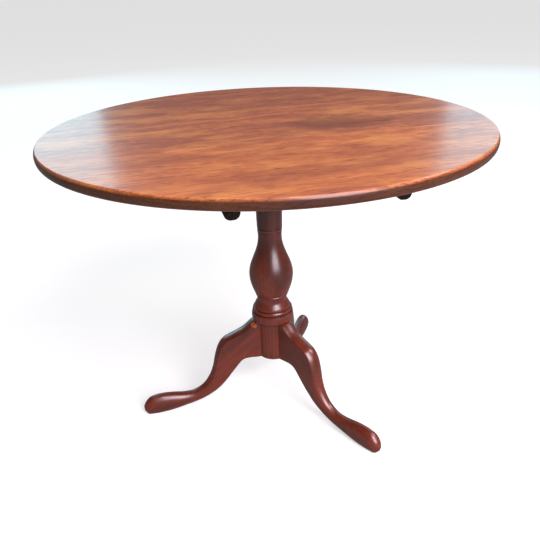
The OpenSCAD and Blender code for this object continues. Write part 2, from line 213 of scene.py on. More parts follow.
def eased_copy(node: str, name: str, ease: float) -> bpy.types.Object:
    """Copies a CAD node, welds it and rounds its arrises.

    Args:
        node: CAD node to copy.
        name: Name of the piece.
        ease: Width of the rounding in millimetres.

    Returns:
        The linked object.
    """
    mesh = bpy.data.meshes.new(name)
    bm = bmesh.new()
    bm.from_mesh(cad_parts[node].data)
    bmesh.ops.remove_doubles(bm, verts=bm.verts, dist=2e-6)
    bmesh.ops.dissolve_limit(bm, angle_limit=math.radians(0.5), verts=bm.verts, edges=bm.edges)
    arrises = [e for e in bm.edges if e.is_manifold and e.calc_face_angle() > math.radians(35)]
    bmesh.ops.bevel(
        bm, geom=arrises, offset=ease * MM, offset_type="OFFSET", segments=3,
        profile=0.5, affect="EDGES", clamp_overlap=True,
    )
    bm.to_mesh(mesh)
    bm.free()
    return link_mesh(name, mesh)


def hand_over(
    piece: bpy.types.Object, finish: bpy.types.Material, body: Body, slot: Slot, *nodes: str, sharp: float = 32.0
) -> bpy.types.Object:
    """Dresses a finished piece and seats it on its body.

    Args:
        piece: The finished piece.
        finish: Its material.
        body: Body that it rides on.
        slot: Material slot of the imported record that its finish stands for; it is only logged.
        *nodes: CAD nodes that it stands for.
        sharp: Angle in degrees past which an edge stays crisp.

    Returns:
        The same piece.
    """
    mesh = piece.data
    mesh.materials.clear()
    mesh.materials.append(finish)
    mesh.shade_smooth()
    mesh.set_sharp_from_angle(angle=math.radians(sharp))
    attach(piece, body.value)
    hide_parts(*nodes)
    LOG.info("%s: %d faces, rides on %s, %s", piece.name, len(mesh.polygons), body.value, slot.value)
    return piece


def centre(node: str) -> Vector:
    """Middle of a CAD node's box."""
    low, high = (Vector(c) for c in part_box(node))
    return (low + high) / 2


def island_heads(node: str, drive: Vector) -> list[Vector]:
    """Finds each screw head of a CAD node.

    Args:
        node: CAD node that holds the screws.
        drive: Unit direction in which they are driven.

    Returns:
        The centre of each head's face.
    """
    bm = bmesh.new()
    bm.from_mesh(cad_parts[node].data)
    bmesh.ops.remove_doubles(bm, verts=bm.verts, dist=2e-6)
    left, heads = set(bm.verts), []
    while left:
        stack, island = [next(iter(left))], set()
        while stack:
            vert = stack.pop()
            if vert not in island:
                island.add(vert)
                stack += [e.other_vert(vert) for e in vert.link_edges]
        left -= island
        start = min(v.co.dot(drive) for v in island)
        face = [v.co for v in island if v.co.dot(drive) < start + 0.02 * MM]
        low = Vector(min(c[i] for c in face) for i in range(3))
        high = Vector(max(c[i] for c in face) for i in range(3))
        heads.append((low + high) / 2)
    bm.free()
    return sorted(heads, key=lambda p: (round(p.x, 4), round(p.y, 4)))


# ---- Geometry Nodes trees ----


def group_with_inputs(name: str, sizes: dict[str, float], counts: dict[str, int]) -> bpy.types.NodeTree:
    """Starts a Geometry Nodes group with named inputs.

    Args:
        name: Name of the group.
        sizes: Its float inputs with their defaults, in metres.
        counts: Its integer inputs with their defaults.

    Returns:
        The group, with a geometry and a material input and a geometry output.
    """
    tree = bpy.data.node_groups.new(name, "GeometryNodeTree")
    face = tree.interface
    face.new_socket("Geometry", in_out="INPUT", socket_type="NodeSocketGeometry")
    for key, value in sizes.items():
        face.new_socket(key, in_out="INPUT", socket_type="NodeSocketFloat").default_value = value
    for key, value in counts.items():
        face.new_socket(key, in_out="INPUT", socket_type="NodeSocketInt").default_value = value
    face.new_socket("Material", in_out="INPUT", socket_type="NodeSocketMaterial")
    face.new_socket("Geometry", in_out="OUTPUT", socket_type="NodeSocketGeometry")
    return tree


def close_group(tree: bpy.types.NodeTree, geometry: bpy.types.NodeSocket, material: bpy.types.NodeSocket) -> None:
    """Ends a group in Realize Instances and Set Material."""
    real = add_node(tree, "GeometryNodeRealizeInstances", {"Geometry": geometry})
    dressed = add_node(tree, "GeometryNodeSetMaterial", {"Geometry": real.outputs[0], "Material": material})
    add_node(tree, "NodeGroupOutput", {0: dressed.outputs[0]})


def run_group(
    name: str, source: bpy.types.Mesh, tree: bpy.types.NodeTree, values: dict[str, Any]
) -> bpy.types.Object:
    """Runs a Geometry Nodes group on a mesh and keeps the result as a plain object.

    Args:
        name: Name of the plain object.
        source: Mesh that the group starts from.
        tree: The group.
        values: Values of the group's inputs, by name.

    Returns:
        The plain object at the origin.
    """
    piece = bpy.data.objects.new(name + "_rough", source)
    bpy.context.scene.collection.objects.link(piece)
    modifier = piece.modifiers.new(tree.name, "NODES")
    modifier.node_group = tree
    for socket in tree.interface.items_tree:
        if socket.in_out == "INPUT" and socket.name in values:
            modifier[socket.identifier] = values[socket.name]
    return settle(piece, name)


def turning_group() -> bpy.types.NodeTree:
    """Makes the group that turns an outline round Z, as on a lathe.

    Returns:
        A group whose input mesh holds the outline's points, pole to pole, as (radius, 0, height).
    """
    tree = group_with_inputs("turned_outline", {"Weld": 1e-6}, {"Sides": 128})
    given = add_node(tree, "NodeGroupInput").outputs
    size = add_node(tree, "GeometryNodeAttributeDomainSize", {0: given["Geometry"]}, component="MESH")
    points = size.outputs["Point Count"]
    rows = add_node(tree, "ShaderNodeMath", {0: given["Sides"], 1: 1.0}, operation="ADD")
    grid = add_node(tree, "GeometryNodeMeshGrid", {"Vertices X": rows.outputs[0], "Vertices Y": points})
    number = add_node(tree, "GeometryNodeInputIndex").outputs[0]
    row = add_node(tree, "ShaderNodeMath", {0: number, 1: points}, operation="DIVIDE")
    whole = add_node(tree, "ShaderNodeMath", {0: row.outputs[0]}, operation="FLOOR")
    along = add_node(tree, "ShaderNodeMath", {0: number, 1: points}, operation="MODULO")
    share = add_node(tree, "ShaderNodeMath", {0: whole.outputs[0], 1: given["Sides"]}, operation="DIVIDE")
    turn = add_node(tree, "ShaderNodeMath", {0: share.outputs[0], 1: math.tau}, operation="MULTIPLY")
    place = add_node(tree, "GeometryNodeInputPosition").outputs[0]
    sample = add_node(tree, "GeometryNodeSampleIndex", data_type="FLOAT_VECTOR", domain="POINT")
    tree.links.new(given["Geometry"], sample.inputs["Geometry"])
    tree.links.new(place, sample.inputs["Value"])
    tree.links.new(along.outputs[0], sample.inputs["Index"])
    turned = add_node(
        tree, "ShaderNodeVectorRotate",
        {"Vector": sample.outputs[0], "Axis": (0.0, 0.0, 1.0), "Angle": turn.outputs[0]}, rotation_type="AXIS_ANGLE",
    )
    shaped = add_node(
        tree, "GeometryNodeSetPosition", {"Geometry": grid.outputs["Mesh"], "Position": turned.outputs[0]}
    )
    closed = add_node(
        tree, "GeometryNodeMergeByDistance", {"Geometry": shaped.outputs[0], "Distance": given["Weld"]}
    )
    close_group(tree, closed.outputs[0], given["Material"])
    return tree


def screw_group() -> bpy.types.NodeTree:
    """Makes the group that sets a slotted countersunk screw on every point of its input mesh.

    Returns:
        A group that drives each screw along the points' "drive" attribute and turns its slot at random.
    """
    sizes = {"Head Diameter": 0.009, "Shank Diameter": 0.0045, "Length": 0.036, "Slot Width": 0.0011}
    tree = group_with_inputs("slotted_screws", sizes, {"Seed": 1})
    given = add_node(tree, "NodeGroupInput").outputs
    half = {
        key: add_node(tree, "ShaderNodeMath", {0: given[key], 1: 0.5}, operation="MULTIPLY").outputs[0]
        for key in ("Head Diameter", "Shank Diameter")
    }
    head_l = add_node(tree, "ShaderNodeMath", {0: given["Head Diameter"], 1: 3.0}, operation="DIVIDE").outputs[0]
    tip_r = add_node(tree, "ShaderNodeMath", {0: half["Shank Diameter"], 1: 0.25}, operation="MULTIPLY").outputs[0]
    tip_l = 5 * MM
    body_l = add_node(tree, "ShaderNodeMath", {0: given["Length"], 1: tip_l}, operation="SUBTRACT").outputs[0]
    shank_l = add_node(tree, "ShaderNodeMath", {0: body_l, 1: head_l}, operation="SUBTRACT").outputs[0]
    parts = []
    for length, low_r, high_r, start in (
        (head_l, half["Head Diameter"], half["Shank Diameter"], None),
        (shank_l, half["Shank Diameter"], half["Shank Diameter"], head_l),
        (tip_l, half["Shank Diameter"], tip_r, body_l),
    ):
        cone = add_node(
            tree, "GeometryNodeMeshCone",
            {"Vertices": 28, "Radius Top": high_r, "Radius Bottom": low_r, "Depth": length},
        )
        part = cone.outputs["Mesh"]
        if start is not None:
            lift = add_node(tree, "ShaderNodeCombineXYZ", {"Z": start})
            part = add_node(
                tree, "GeometryNodeTransform", {"Geometry": part, "Translation": lift.outputs[0]}
            ).outputs[0]
        parts.append(part)
    slot_l = add_node(tree, "ShaderNodeMath", {0: given["Head Diameter"], 1: 1.4}, operation="MULTIPLY")
    slot_d = add_node(tree, "ShaderNodeMath", {0: given["Head Diameter"], 1: 3.5}, operation="DIVIDE")
    slot_size = add_node(
        tree, "ShaderNodeCombineXYZ", {"X": given["Slot Width"], "Y": slot_l.outputs[0], "Z": slot_d.outputs[0]}
    )
    slot = add_node(tree, "GeometryNodeMeshCube", {"Size": slot_size.outputs[0]})
    cut = add_node(tree, "GeometryNodeMeshBoolean", {"Mesh 1": parts[0]}, operation="DIFFERENCE")
    tree.links.new(slot.outputs["Mesh"], cut.inputs["Mesh 2"])
    join = add_node(tree, "GeometryNodeJoinGeometry")
    for part in (*parts[1:], cut.outputs[0]):
        tree.links.new(part, join.inputs[0])
    place = add_node(tree, "GeometryNodeInputPosition")
    height = add_node(tree, "ShaderNodeSeparateXYZ", {0: place.outputs[0]}).outputs["Z"]
    at_joins = [
        add_node(tree, "ShaderNodeMath", {0: height, 1: level, 2: 0.01 * MM}, operation="COMPARE").outputs[0]
        for level in (head_l, body_l)
    ]
    inner = add_node(tree, "ShaderNodeMath", {0: at_joins[0], 1: at_joins[1]}, operation="MAXIMUM")
    shell = add_node(
        tree, "GeometryNodeDeleteGeometry", {"Geometry": join.outputs[0], "Selection": inner.outputs[0]}, domain="FACE"
    )
    drive = add_node(tree, "GeometryNodeInputNamedAttribute", {"Name": "drive"}, data_type="FLOAT_VECTOR")
    facing = add_node(tree, "FunctionNodeAlignRotationToVector", {"Vector": drive.outputs["Attribute"]}, axis="Z")
    spread = add_node(
        tree, "GeometryNodeInstanceOnPoints",
        {"Points": given["Geometry"], "Instance": shell.outputs[0], "Rotation": facing.outputs[0]},
    )
    chance = add_node(tree, "FunctionNodeRandomValue", {"Seed": given["Seed"]}, data_type="FLOAT")
    angle = add_node(tree, "ShaderNodeMath", {0: chance.outputs["Value"], 1: math.pi}, operation="MULTIPLY")
    spin = add_node(tree, "ShaderNodeCombineXYZ", {"Z": angle.outputs[0]})
    turned = add_node(
        tree, "GeometryNodeRotateInstances",
        {"Instances": spread.outputs[0], "Rotation": spin.outputs[0], "Local Space": True},
    )
    close_group(tree, turned.outputs[0], given["Material"])
    return tree


def turned_piece(
    name: str, outline: Outline, tree: bpy.types.NodeTree, finish: bpy.types.Material, sides: int, seat: Matrix
) -> bpy.types.Object:
    """Turns an outline and sets it in place.

    Args:
        name: Name of the piece.
        outline: Radius and height of each point in metres, from pole to pole.
        tree: The turning group.
        finish: Its material.
        sides: Number of facets round it.
        seat: Where its axis and its origin go.

    Returns:
        The plain object.
    """
    source = bpy.data.meshes.new(name + "_outline")
    source.from_pydata([(r, 0.0, z) for r, z in outline], [], [])
    piece = run_group(name, source, tree, {"Sides": sides, "Material": finish})
    piece.data.transform(seat)
    return piece


def eased_bar(radius: float, length: float, ease: float) -> Outline:
    """Outline of a round bar from 0 to its length with eased ends, all in metres."""
    turn = [math.radians(90 * i / 4) for i in range(5)]
    low = [(radius - ease + ease * math.sin(a), ease - ease * math.cos(a)) for a in turn]
    return [(0.0, 0.0), *low, *[(r, length - z) for r, z in reversed(low)], (0.0, length)]


# ---- Finishes ----


def new_material(name: str) -> tuple[bpy.types.Material, bpy.types.NodeTree]:
    """Makes an empty node material."""
    material = bpy.data.materials.new(name)
    material.use_nodes = True
    material.node_tree.nodes.clear()
    return material, material.node_tree


@dataclass(frozen=True)
class Mark:
    """A stain, scratch or dent in a show face: its place, its half sizes and its strength."""

    at: Point
    half: Point
    strength: float
    ragged: float = 0.8


@dataclass(frozen=True)
class DirtAndShadeLine:
    """Line of darker colour at one height, in metres, for old polish and painted shade: full strength for a stretch
    either side, then fading out.
    """

    height: float
    half: float
    strength: float
    flat: float = 0.0


@dataclass(frozen=True)
class Timber:
    """Wood as a solid: rings round a pith, streaks and pores along the grain, under a rubbed finish."""

    name: str
    dark: str
    mid: str
    light: str
    pore: str = "2a0f08"
    cloud: str = "5a2a22"
    ring_mm: float = 9.0
    streak_mm: float = 4.0
    pore_mm: float = 1.1
    cloud_mm: float = 90.0
    cloudiness: float = 0.4
    gold: str = "c06a28"
    gold_share: float = 0.0
    pore_share: float = 0.40
    pore_edge: float = 0.08
    pore_strength: float = 0.6
    roughness: float = 0.35
    rough_spread: float = 0.12
    coat: float = 0.3
    coat_roughness: float = 0.12
    specular: float = 0.5
    relief_mm: float = 0.12
    # Colour of the darker lines at given heights: old polish and painted shade
    dirt_and_shade: str = "1e0b06"
    sway_mm: float = 16.0
    wander_mm: float = 200.0
    ring_share: float = 0.18
    # Levels of the noise, from 0 to 1, at which each tone stands and at which a patch begins and is full
    tone_levels: Point = (0.30, 0.48, 0.68)
    cloud_levels: tuple[float, float] = (0.46, 0.70)
    gold_levels: tuple[float, float] = (0.50, 0.68)
    # Each pattern's own share of its width that it keeps along the grain: the smaller, the longer drawn out
    streak_pull: float = 0.04
    pore_pull: float = 0.07
    cloud_pull: float = 0.30
    gold_pull: float = 0.45
    gold_shift: Point = (3.1, 1.7, 0.4)

    def build(
        self,
        label: str,
        grain: Matrix,
        pith: Point = (0.0, 0.09, 0.13),
        marks: Sequence[Mark] = (),
        dirt_and_shade: Sequence[DirtAndShadeLine] = (),
    ) -> bpy.types.Material:
        """Makes the material.

        Args:
            label: Name of the piece or board it is for.
            grain: Turn that brings the grain onto X.
            pith: Shift of the pattern, which sets the pith's distance and each board's own figure.
            marks: Stains and dents on the piece.
            dirt_and_shade: Lines of darker colour that don't overlap: old polish and painted shade.

        Returns:
            The material.
        """
        material, tree = new_material(f"{self.name}_{label}")
        place = add_node(tree, "ShaderNodeTexCoord").outputs["Object"]
        laid = add_node(
            tree, "ShaderNodeMapping", {"Vector": place, "Location": pith, "Rotation": grain.to_euler("XYZ")}
        ).outputs[0]
        wander = add_node(
            tree, "ShaderNodeTexNoise", {"Vector": laid, "Scale": 1000.0 / self.wander_mm, "Detail": 2.0}
        )
        sway = add_node(
            tree, "ShaderNodeVectorMath",
            {0: wander.outputs["Color"], 1: (0.0, self.sway_mm * MM, self.sway_mm * MM), 2: laid},
            operation="MULTIPLY_ADD",
        ).outputs[0]
        streak_place, pore_place, cloud_place, gold_place = (
            add_node(
                tree, "ShaderNodeMapping", {"Vector": source, "Location": shift, "Scale": (pull, 1.0, 1.0)}
            ).outputs[0]
            for source, pull, shift in (
                (sway, self.streak_pull, (0.0, 0.0, 0.0)), (sway, self.pore_pull, (0.0, 0.0, 0.0)),
                (laid, self.cloud_pull, (0.0, 0.0, 0.0)), (laid, self.gold_pull, self.gold_shift),
            )
        )
        rings = add_node(
            tree, "ShaderNodeTexWave",
            {"Vector": sway, "Scale": 314.0 / self.ring_mm, "Distortion": 3.0,
             "Detail": 2.0, "Detail Scale": 1.5, "Detail Roughness": 0.6},
            wave_type="RINGS", rings_direction="X", wave_profile="SIN",
        ).outputs["Fac"]
        streaks = add_node(
            tree, "ShaderNodeTexNoise",
            {"Vector": streak_place, "Scale": 1000.0 / (2 * self.streak_mm), "Detail": 3.0, "Roughness": 0.62},
        ).outputs["Fac"]
        pores = add_node(
            tree, "ShaderNodeTexNoise",
            {"Vector": pore_place, "Scale": 1000.0 / (2 * self.pore_mm), "Detail": 1.0, "Roughness": 0.5},
        ).outputs["Fac"]
        clouds = add_node(
            tree, "ShaderNodeTexNoise",
            {"Vector": cloud_place, "Scale": 1000.0 / self.cloud_mm, "Detail": 5.0, "Roughness": 0.62},
        ).outputs["Fac"]
        ringed = add_node(
            tree, "ShaderNodeMath", {0: rings, 1: self.ring_share, 2: -self.ring_share / 2}, operation="MULTIPLY_ADD"
        ).outputs[0]
        figure = add_node(tree, "ShaderNodeMath", {0: streaks, 1: ringed}, operation="ADD").outputs[0]
        wood = add_node(
            tree, "ShaderNodeValToRGB", {"Fac": figure},
            stops=tuple(zip(self.tone_levels, (self.dark, self.mid, self.light))),
        ).outputs[0]
        cloud_mask = add_node(
            tree, "ShaderNodeMapRange",
            {"Value": clouds, "From Min": self.cloud_levels[0], "From Max": self.cloud_levels[1],
             "To Max": self.cloudiness},
            interpolation_type="SMOOTHSTEP",
        ).outputs[0]
        patches = add_node(
            tree, "ShaderNodeTexNoise",
            {"Vector": gold_place, "Scale": 1000.0 / self.cloud_mm, "Detail": 3.0, "Roughness": 0.55},
        ).outputs["Fac"]
        gold_mask = add_node(
            tree, "ShaderNodeMapRange",
            {"Value": patches, "From Min": self.gold_levels[0], "From Max": self.gold_levels[1],
             "To Max": self.gold_share},
            interpolation_type="SMOOTHSTEP",
        ).outputs[0]
        open_pores = add_node(
            tree, "ShaderNodeMapRange",
            {"Value": pores, "From Min": self.pore_share, "From Max": self.pore_share - self.pore_edge},
            interpolation_type="SMOOTHSTEP",
        ).outputs[0]
        pore_mask = add_node(
            tree, "ShaderNodeMath", {0: open_pores, 1: self.pore_strength}, operation="MULTIPLY"
        ).outputs[0]
        layers = [(cloud_mask, self.cloud), (gold_mask, self.gold), (pore_mask, self.pore)]
        layers += [(self.mark_mask(tree, place, mark), self.pore) for mark in marks]
        # Darker lines at given heights: painted shade as well as old polish
        if dirt_and_shade:
            layers.append((self.dirt_and_shade_mask(tree, place, dirt_and_shade), self.dirt_and_shade))
        shade = wood
        for share, tone in layers:
            shade = add_node(tree, "ShaderNodeMix", {0: share, 6: shade, 7: colour(tone)}, data_type="RGBA").outputs[2]
        height = add_node(tree, "ShaderNodeMath", {0: open_pores, 1: -1.0, 2: streaks}, operation="MULTIPLY_ADD")
        bump = add_node(
            tree, "ShaderNodeBump",
            {"Height": height.outputs[0], "Strength": 0.6, "Distance": self.relief_mm * MM},
        ).outputs[0]
        rough = add_node(
            tree, "ShaderNodeMapRange",
            {"Value": streaks, "From Min": 0.3, "From Max": 0.7,
             "To Min": self.roughness + self.rough_spread / 2, "To Max": self.roughness - self.rough_spread / 2},
        ).outputs[0]
        shader = add_node(
            tree, "ShaderNodeBsdfPrincipled",
            {"Base Color": shade, "Roughness": rough, "Normal": bump, "IOR": 1.5, "Coat Weight": self.coat,
             "Coat Roughness": self.coat_roughness, "Specular IOR Level": self.specular},
        )
        add_node(tree, "ShaderNodeOutputMaterial", {"Surface": shader.outputs[0]})
        return material

    @staticmethod
    def mark_mask(
        tree: bpy.types.NodeTree, place: bpy.types.NodeSocket, mark: Mark
    ) -> bpy.types.NodeSocket:
        """Share of a mark at each point: a ragged spot that fades at its edge."""
        scale = tuple(1.0 / h for h in mark.half)
        near = add_node(
            tree, "ShaderNodeMapping",
            {"Vector": place, "Scale": scale, "Location": tuple(-a * s for a, s in zip(mark.at, scale))},
        ).outputs[0]
        reach = add_node(tree, "ShaderNodeVectorMath", {0: near}, operation="LENGTH").outputs["Value"]
        rag = add_node(
            tree, "ShaderNodeTexNoise", {"Vector": near, "Scale": 2.2, "Detail": 4.0, "Roughness": 0.65}
        ).outputs["Fac"]
        edge = add_node(
            tree, "ShaderNodeMath", {0: rag, 1: -2.0 * mark.ragged, 2: reach}, operation="MULTIPLY_ADD"
        ).outputs[0]
        return add_node(
            tree, "ShaderNodeMapRange",
            {"Value": edge, "From Min": 1.0 - mark.ragged, "From Max": 0.2 - mark.ragged, "To Max": mark.strength},
            interpolation_type="SMOOTHSTEP",
        ).outputs[0]

    @staticmethod
    def dirt_and_shade_mask(
        tree: bpy.types.NodeTree, place: bpy.types.NodeSocket, dirt_and_shade: Sequence[DirtAndShadeLine]
    ) -> bpy.types.NodeSocket:
        """Share of darker colour at each height, as soft lines: old polish in the grooves, and painted shade."""
        low = min(line.height - line.half for line in dirt_and_shade)
        high = max(line.height + line.half for line in dirt_and_shade)
        height = add_node(tree, "ShaderNodeSeparateXYZ", {0: place}).outputs["Z"]
        share = add_node(tree, "ShaderNodeMapRange", {"Value": height, "From Min": low, "From Max": high}).outputs[0]
        span = high - low
        stops = []
        for line in dirt_and_shade:
            for reach, strength in (
                (-line.half, 0.0), (-line.flat, line.strength), (line.flat, line.strength), (line.half, 0.0)
            ):
                stops.append((min(max((line.height + reach - low) / span, 0.0), 1.0), strength))
        return add_node(tree, "ShaderNodeValToRGB", {"Fac": share}, stops=stops).outputs[0]


@dataclass(frozen=True)
class Metal:
    """Bare metal: tarnish in clouds and fine scratches from handling."""

    name: str
    bright: str
    tarnish: str
    tarnish_share: float = 0.5
    cloud_mm: float = 5.0
    scratch_mm: float = 0.5
    roughness: float = 0.35
    rough_spread: float = 0.2
    relief_mm: float = 0.05

    def build(self) -> bpy.types.Material:
        """Makes the material."""
        material, tree = new_material(self.name)
        place = add_node(tree, "ShaderNodeTexCoord").outputs["Object"]
        clouds = add_node(
            tree, "ShaderNodeTexNoise",
            {"Vector": place, "Scale": 1000.0 / self.cloud_mm, "Detail": 5.0, "Roughness": 0.65},
        ).outputs["Fac"]
        fine = add_node(
            tree, "ShaderNodeTexNoise",
            {"Vector": place, "Scale": 1000.0 / self.scratch_mm, "Detail": 2.0, "Roughness": 0.6},
        ).outputs["Fac"]
        share = 1.0 - self.tarnish_share
        shade = add_node(
            tree, "ShaderNodeValToRGB", {"Fac": clouds},
            stops=((max(share - 0.16, 0.0), self.bright), (min(share + 0.12, 1.0), self.tarnish)),
        ).outputs[0]
        rough = add_node(
            tree, "ShaderNodeMapRange",
            {"Value": clouds, "From Min": 0.3, "From Max": 0.7,
             "To Min": self.roughness - self.rough_spread / 2, "To Max": self.roughness + self.rough_spread / 2},
        ).outputs[0]
        both = add_node(tree, "ShaderNodeMath", {0: clouds, 1: 2.0, 2: fine}, operation="MULTIPLY_ADD").outputs[0]
        bump = add_node(
            tree, "ShaderNodeBump", {"Height": both, "Strength": 0.5, "Distance": self.relief_mm * MM}
        ).outputs[0]
        shader = add_node(
            tree, "ShaderNodeBsdfPrincipled",
            {"Base Color": shade, "Roughness": rough, "Normal": bump, "Metallic": 1.0},
        )
        add_node(tree, "ShaderNodeOutputMaterial", {"Surface": shader.outputs[0]})
        return material


# Mahogany boards, french polished and waxed for generations: warm, mottled and glossy enough to mirror
# the windows, with the open grain drawing the mirror out into streaks. The real pores are about 0.3 mm
# wide; they are drawn coarser so that they show.
POLISHED_MAHOGANY = Timber(
    "french_polished_mahogany", dark="a04a20", mid="bf6530", light="d87c3c", pore="5a2412", cloud="84422a",
    gold="d08a46", ring_mm=8.0, streak_mm=1.6, pore_mm=1.4, pore_share=0.41, cloud_mm=75.0, cloudiness=0.6,
    gold_share=0.45, roughness=0.48, coat=0.6, coat_roughness=0.20, specular=0.2, relief_mm=0.10,
)
# Mahogany turned and carved, waxed: darker and redder than the top, a satin sheen.
WAXED_MAHOGANY = Timber(
    "waxed_mahogany", dark="52190b", mid="60200d", light="6c2911", pore="1e0906", cloud="240b08",
    ring_mm=8.0, streak_mm=2.2, pore_mm=0.8, pore_strength=0.15, cloud_mm=75.0, cloudiness=0.6, roughness=0.36,
    coat=0.75, coat_roughness=0.28, specular=0.5, relief_mm=0.04,
)
# Hidden timber under the top, stained, never polished and dull: its near-black colour is partly stain and partly
# painted shade from the top above it.
STAINED_AND_SHADED_TIMBER = Timber(
    "stained_mahogany_painted_shade", dark="110a09", mid="1b100d", light="281713", pore="0b0605", cloud="0e0908",
    ring_mm=7.0, streak_mm=3.0, roughness=0.70, coat=0.0, relief_mm=0.2, specular=0.12,
)
# Maple, split and turned: pale, close-grained, greyed by handling.
MAPLE = Timber(
    "old_maple", dark="9a7348", mid="b48d5e", light="c7a377", pore="6d4c2c", cloud="8d6a45",
    ring_mm=3.0, streak_mm=1.5, pore_mm=0.5, cloud_mm=30.0, roughness=0.48, coat=0.0, relief_mm=0.06,
)
# Pellet of paler mahogany let in later: it never took the old colour.
PELLET_WOOD = Timber(
    "pale_mahogany_pellet", dark="8a4426", mid="a85c38", light="bf7448", pore="5a2616", cloud="84432a",
    ring_mm=3.0, streak_mm=1.2, pore_mm=0.6, cloud_mm=14.0, roughness=0.36, coat=0.25,
)
# Steel screws, blued by heat and dulled by age.
BLUED_STEEL = Metal("blued_steel", bright="5b5d63", tarnish="2e2b2b", tarnish_share=0.5, roughness=0.42)
# Wrought iron, hammered and left black: broad dents under a brown bloom of rust.
FORGED_IRON = Metal(
    "forged_iron", bright="3c3938", tarnish="2a201b", cloud_mm=9.0, roughness=0.58, relief_mm=0.35
)
# Cast and filed brass, brown where hands don't reach and brighter where they do.
AGED_BRASS = Metal("aged_brass", bright="b0894a", tarnish="6e5329", tarnish_share=0.45, roughness=0.34)
# Tempered spring steel, brown-blue from the fire.
SPRING_STEEL = Metal("spring_steel", bright="80828a", tarnish="4b474a", tarnish_share=0.35, roughness=0.30)

ALONG_X = Matrix.Identity(4)
ALONG_Y = Matrix.Rotation(math.radians(-90), 4, "Z")
ALONG_Z = Matrix.Rotation(math.radians(90), 4, "Y")


# ---- Sub-assemblies ----


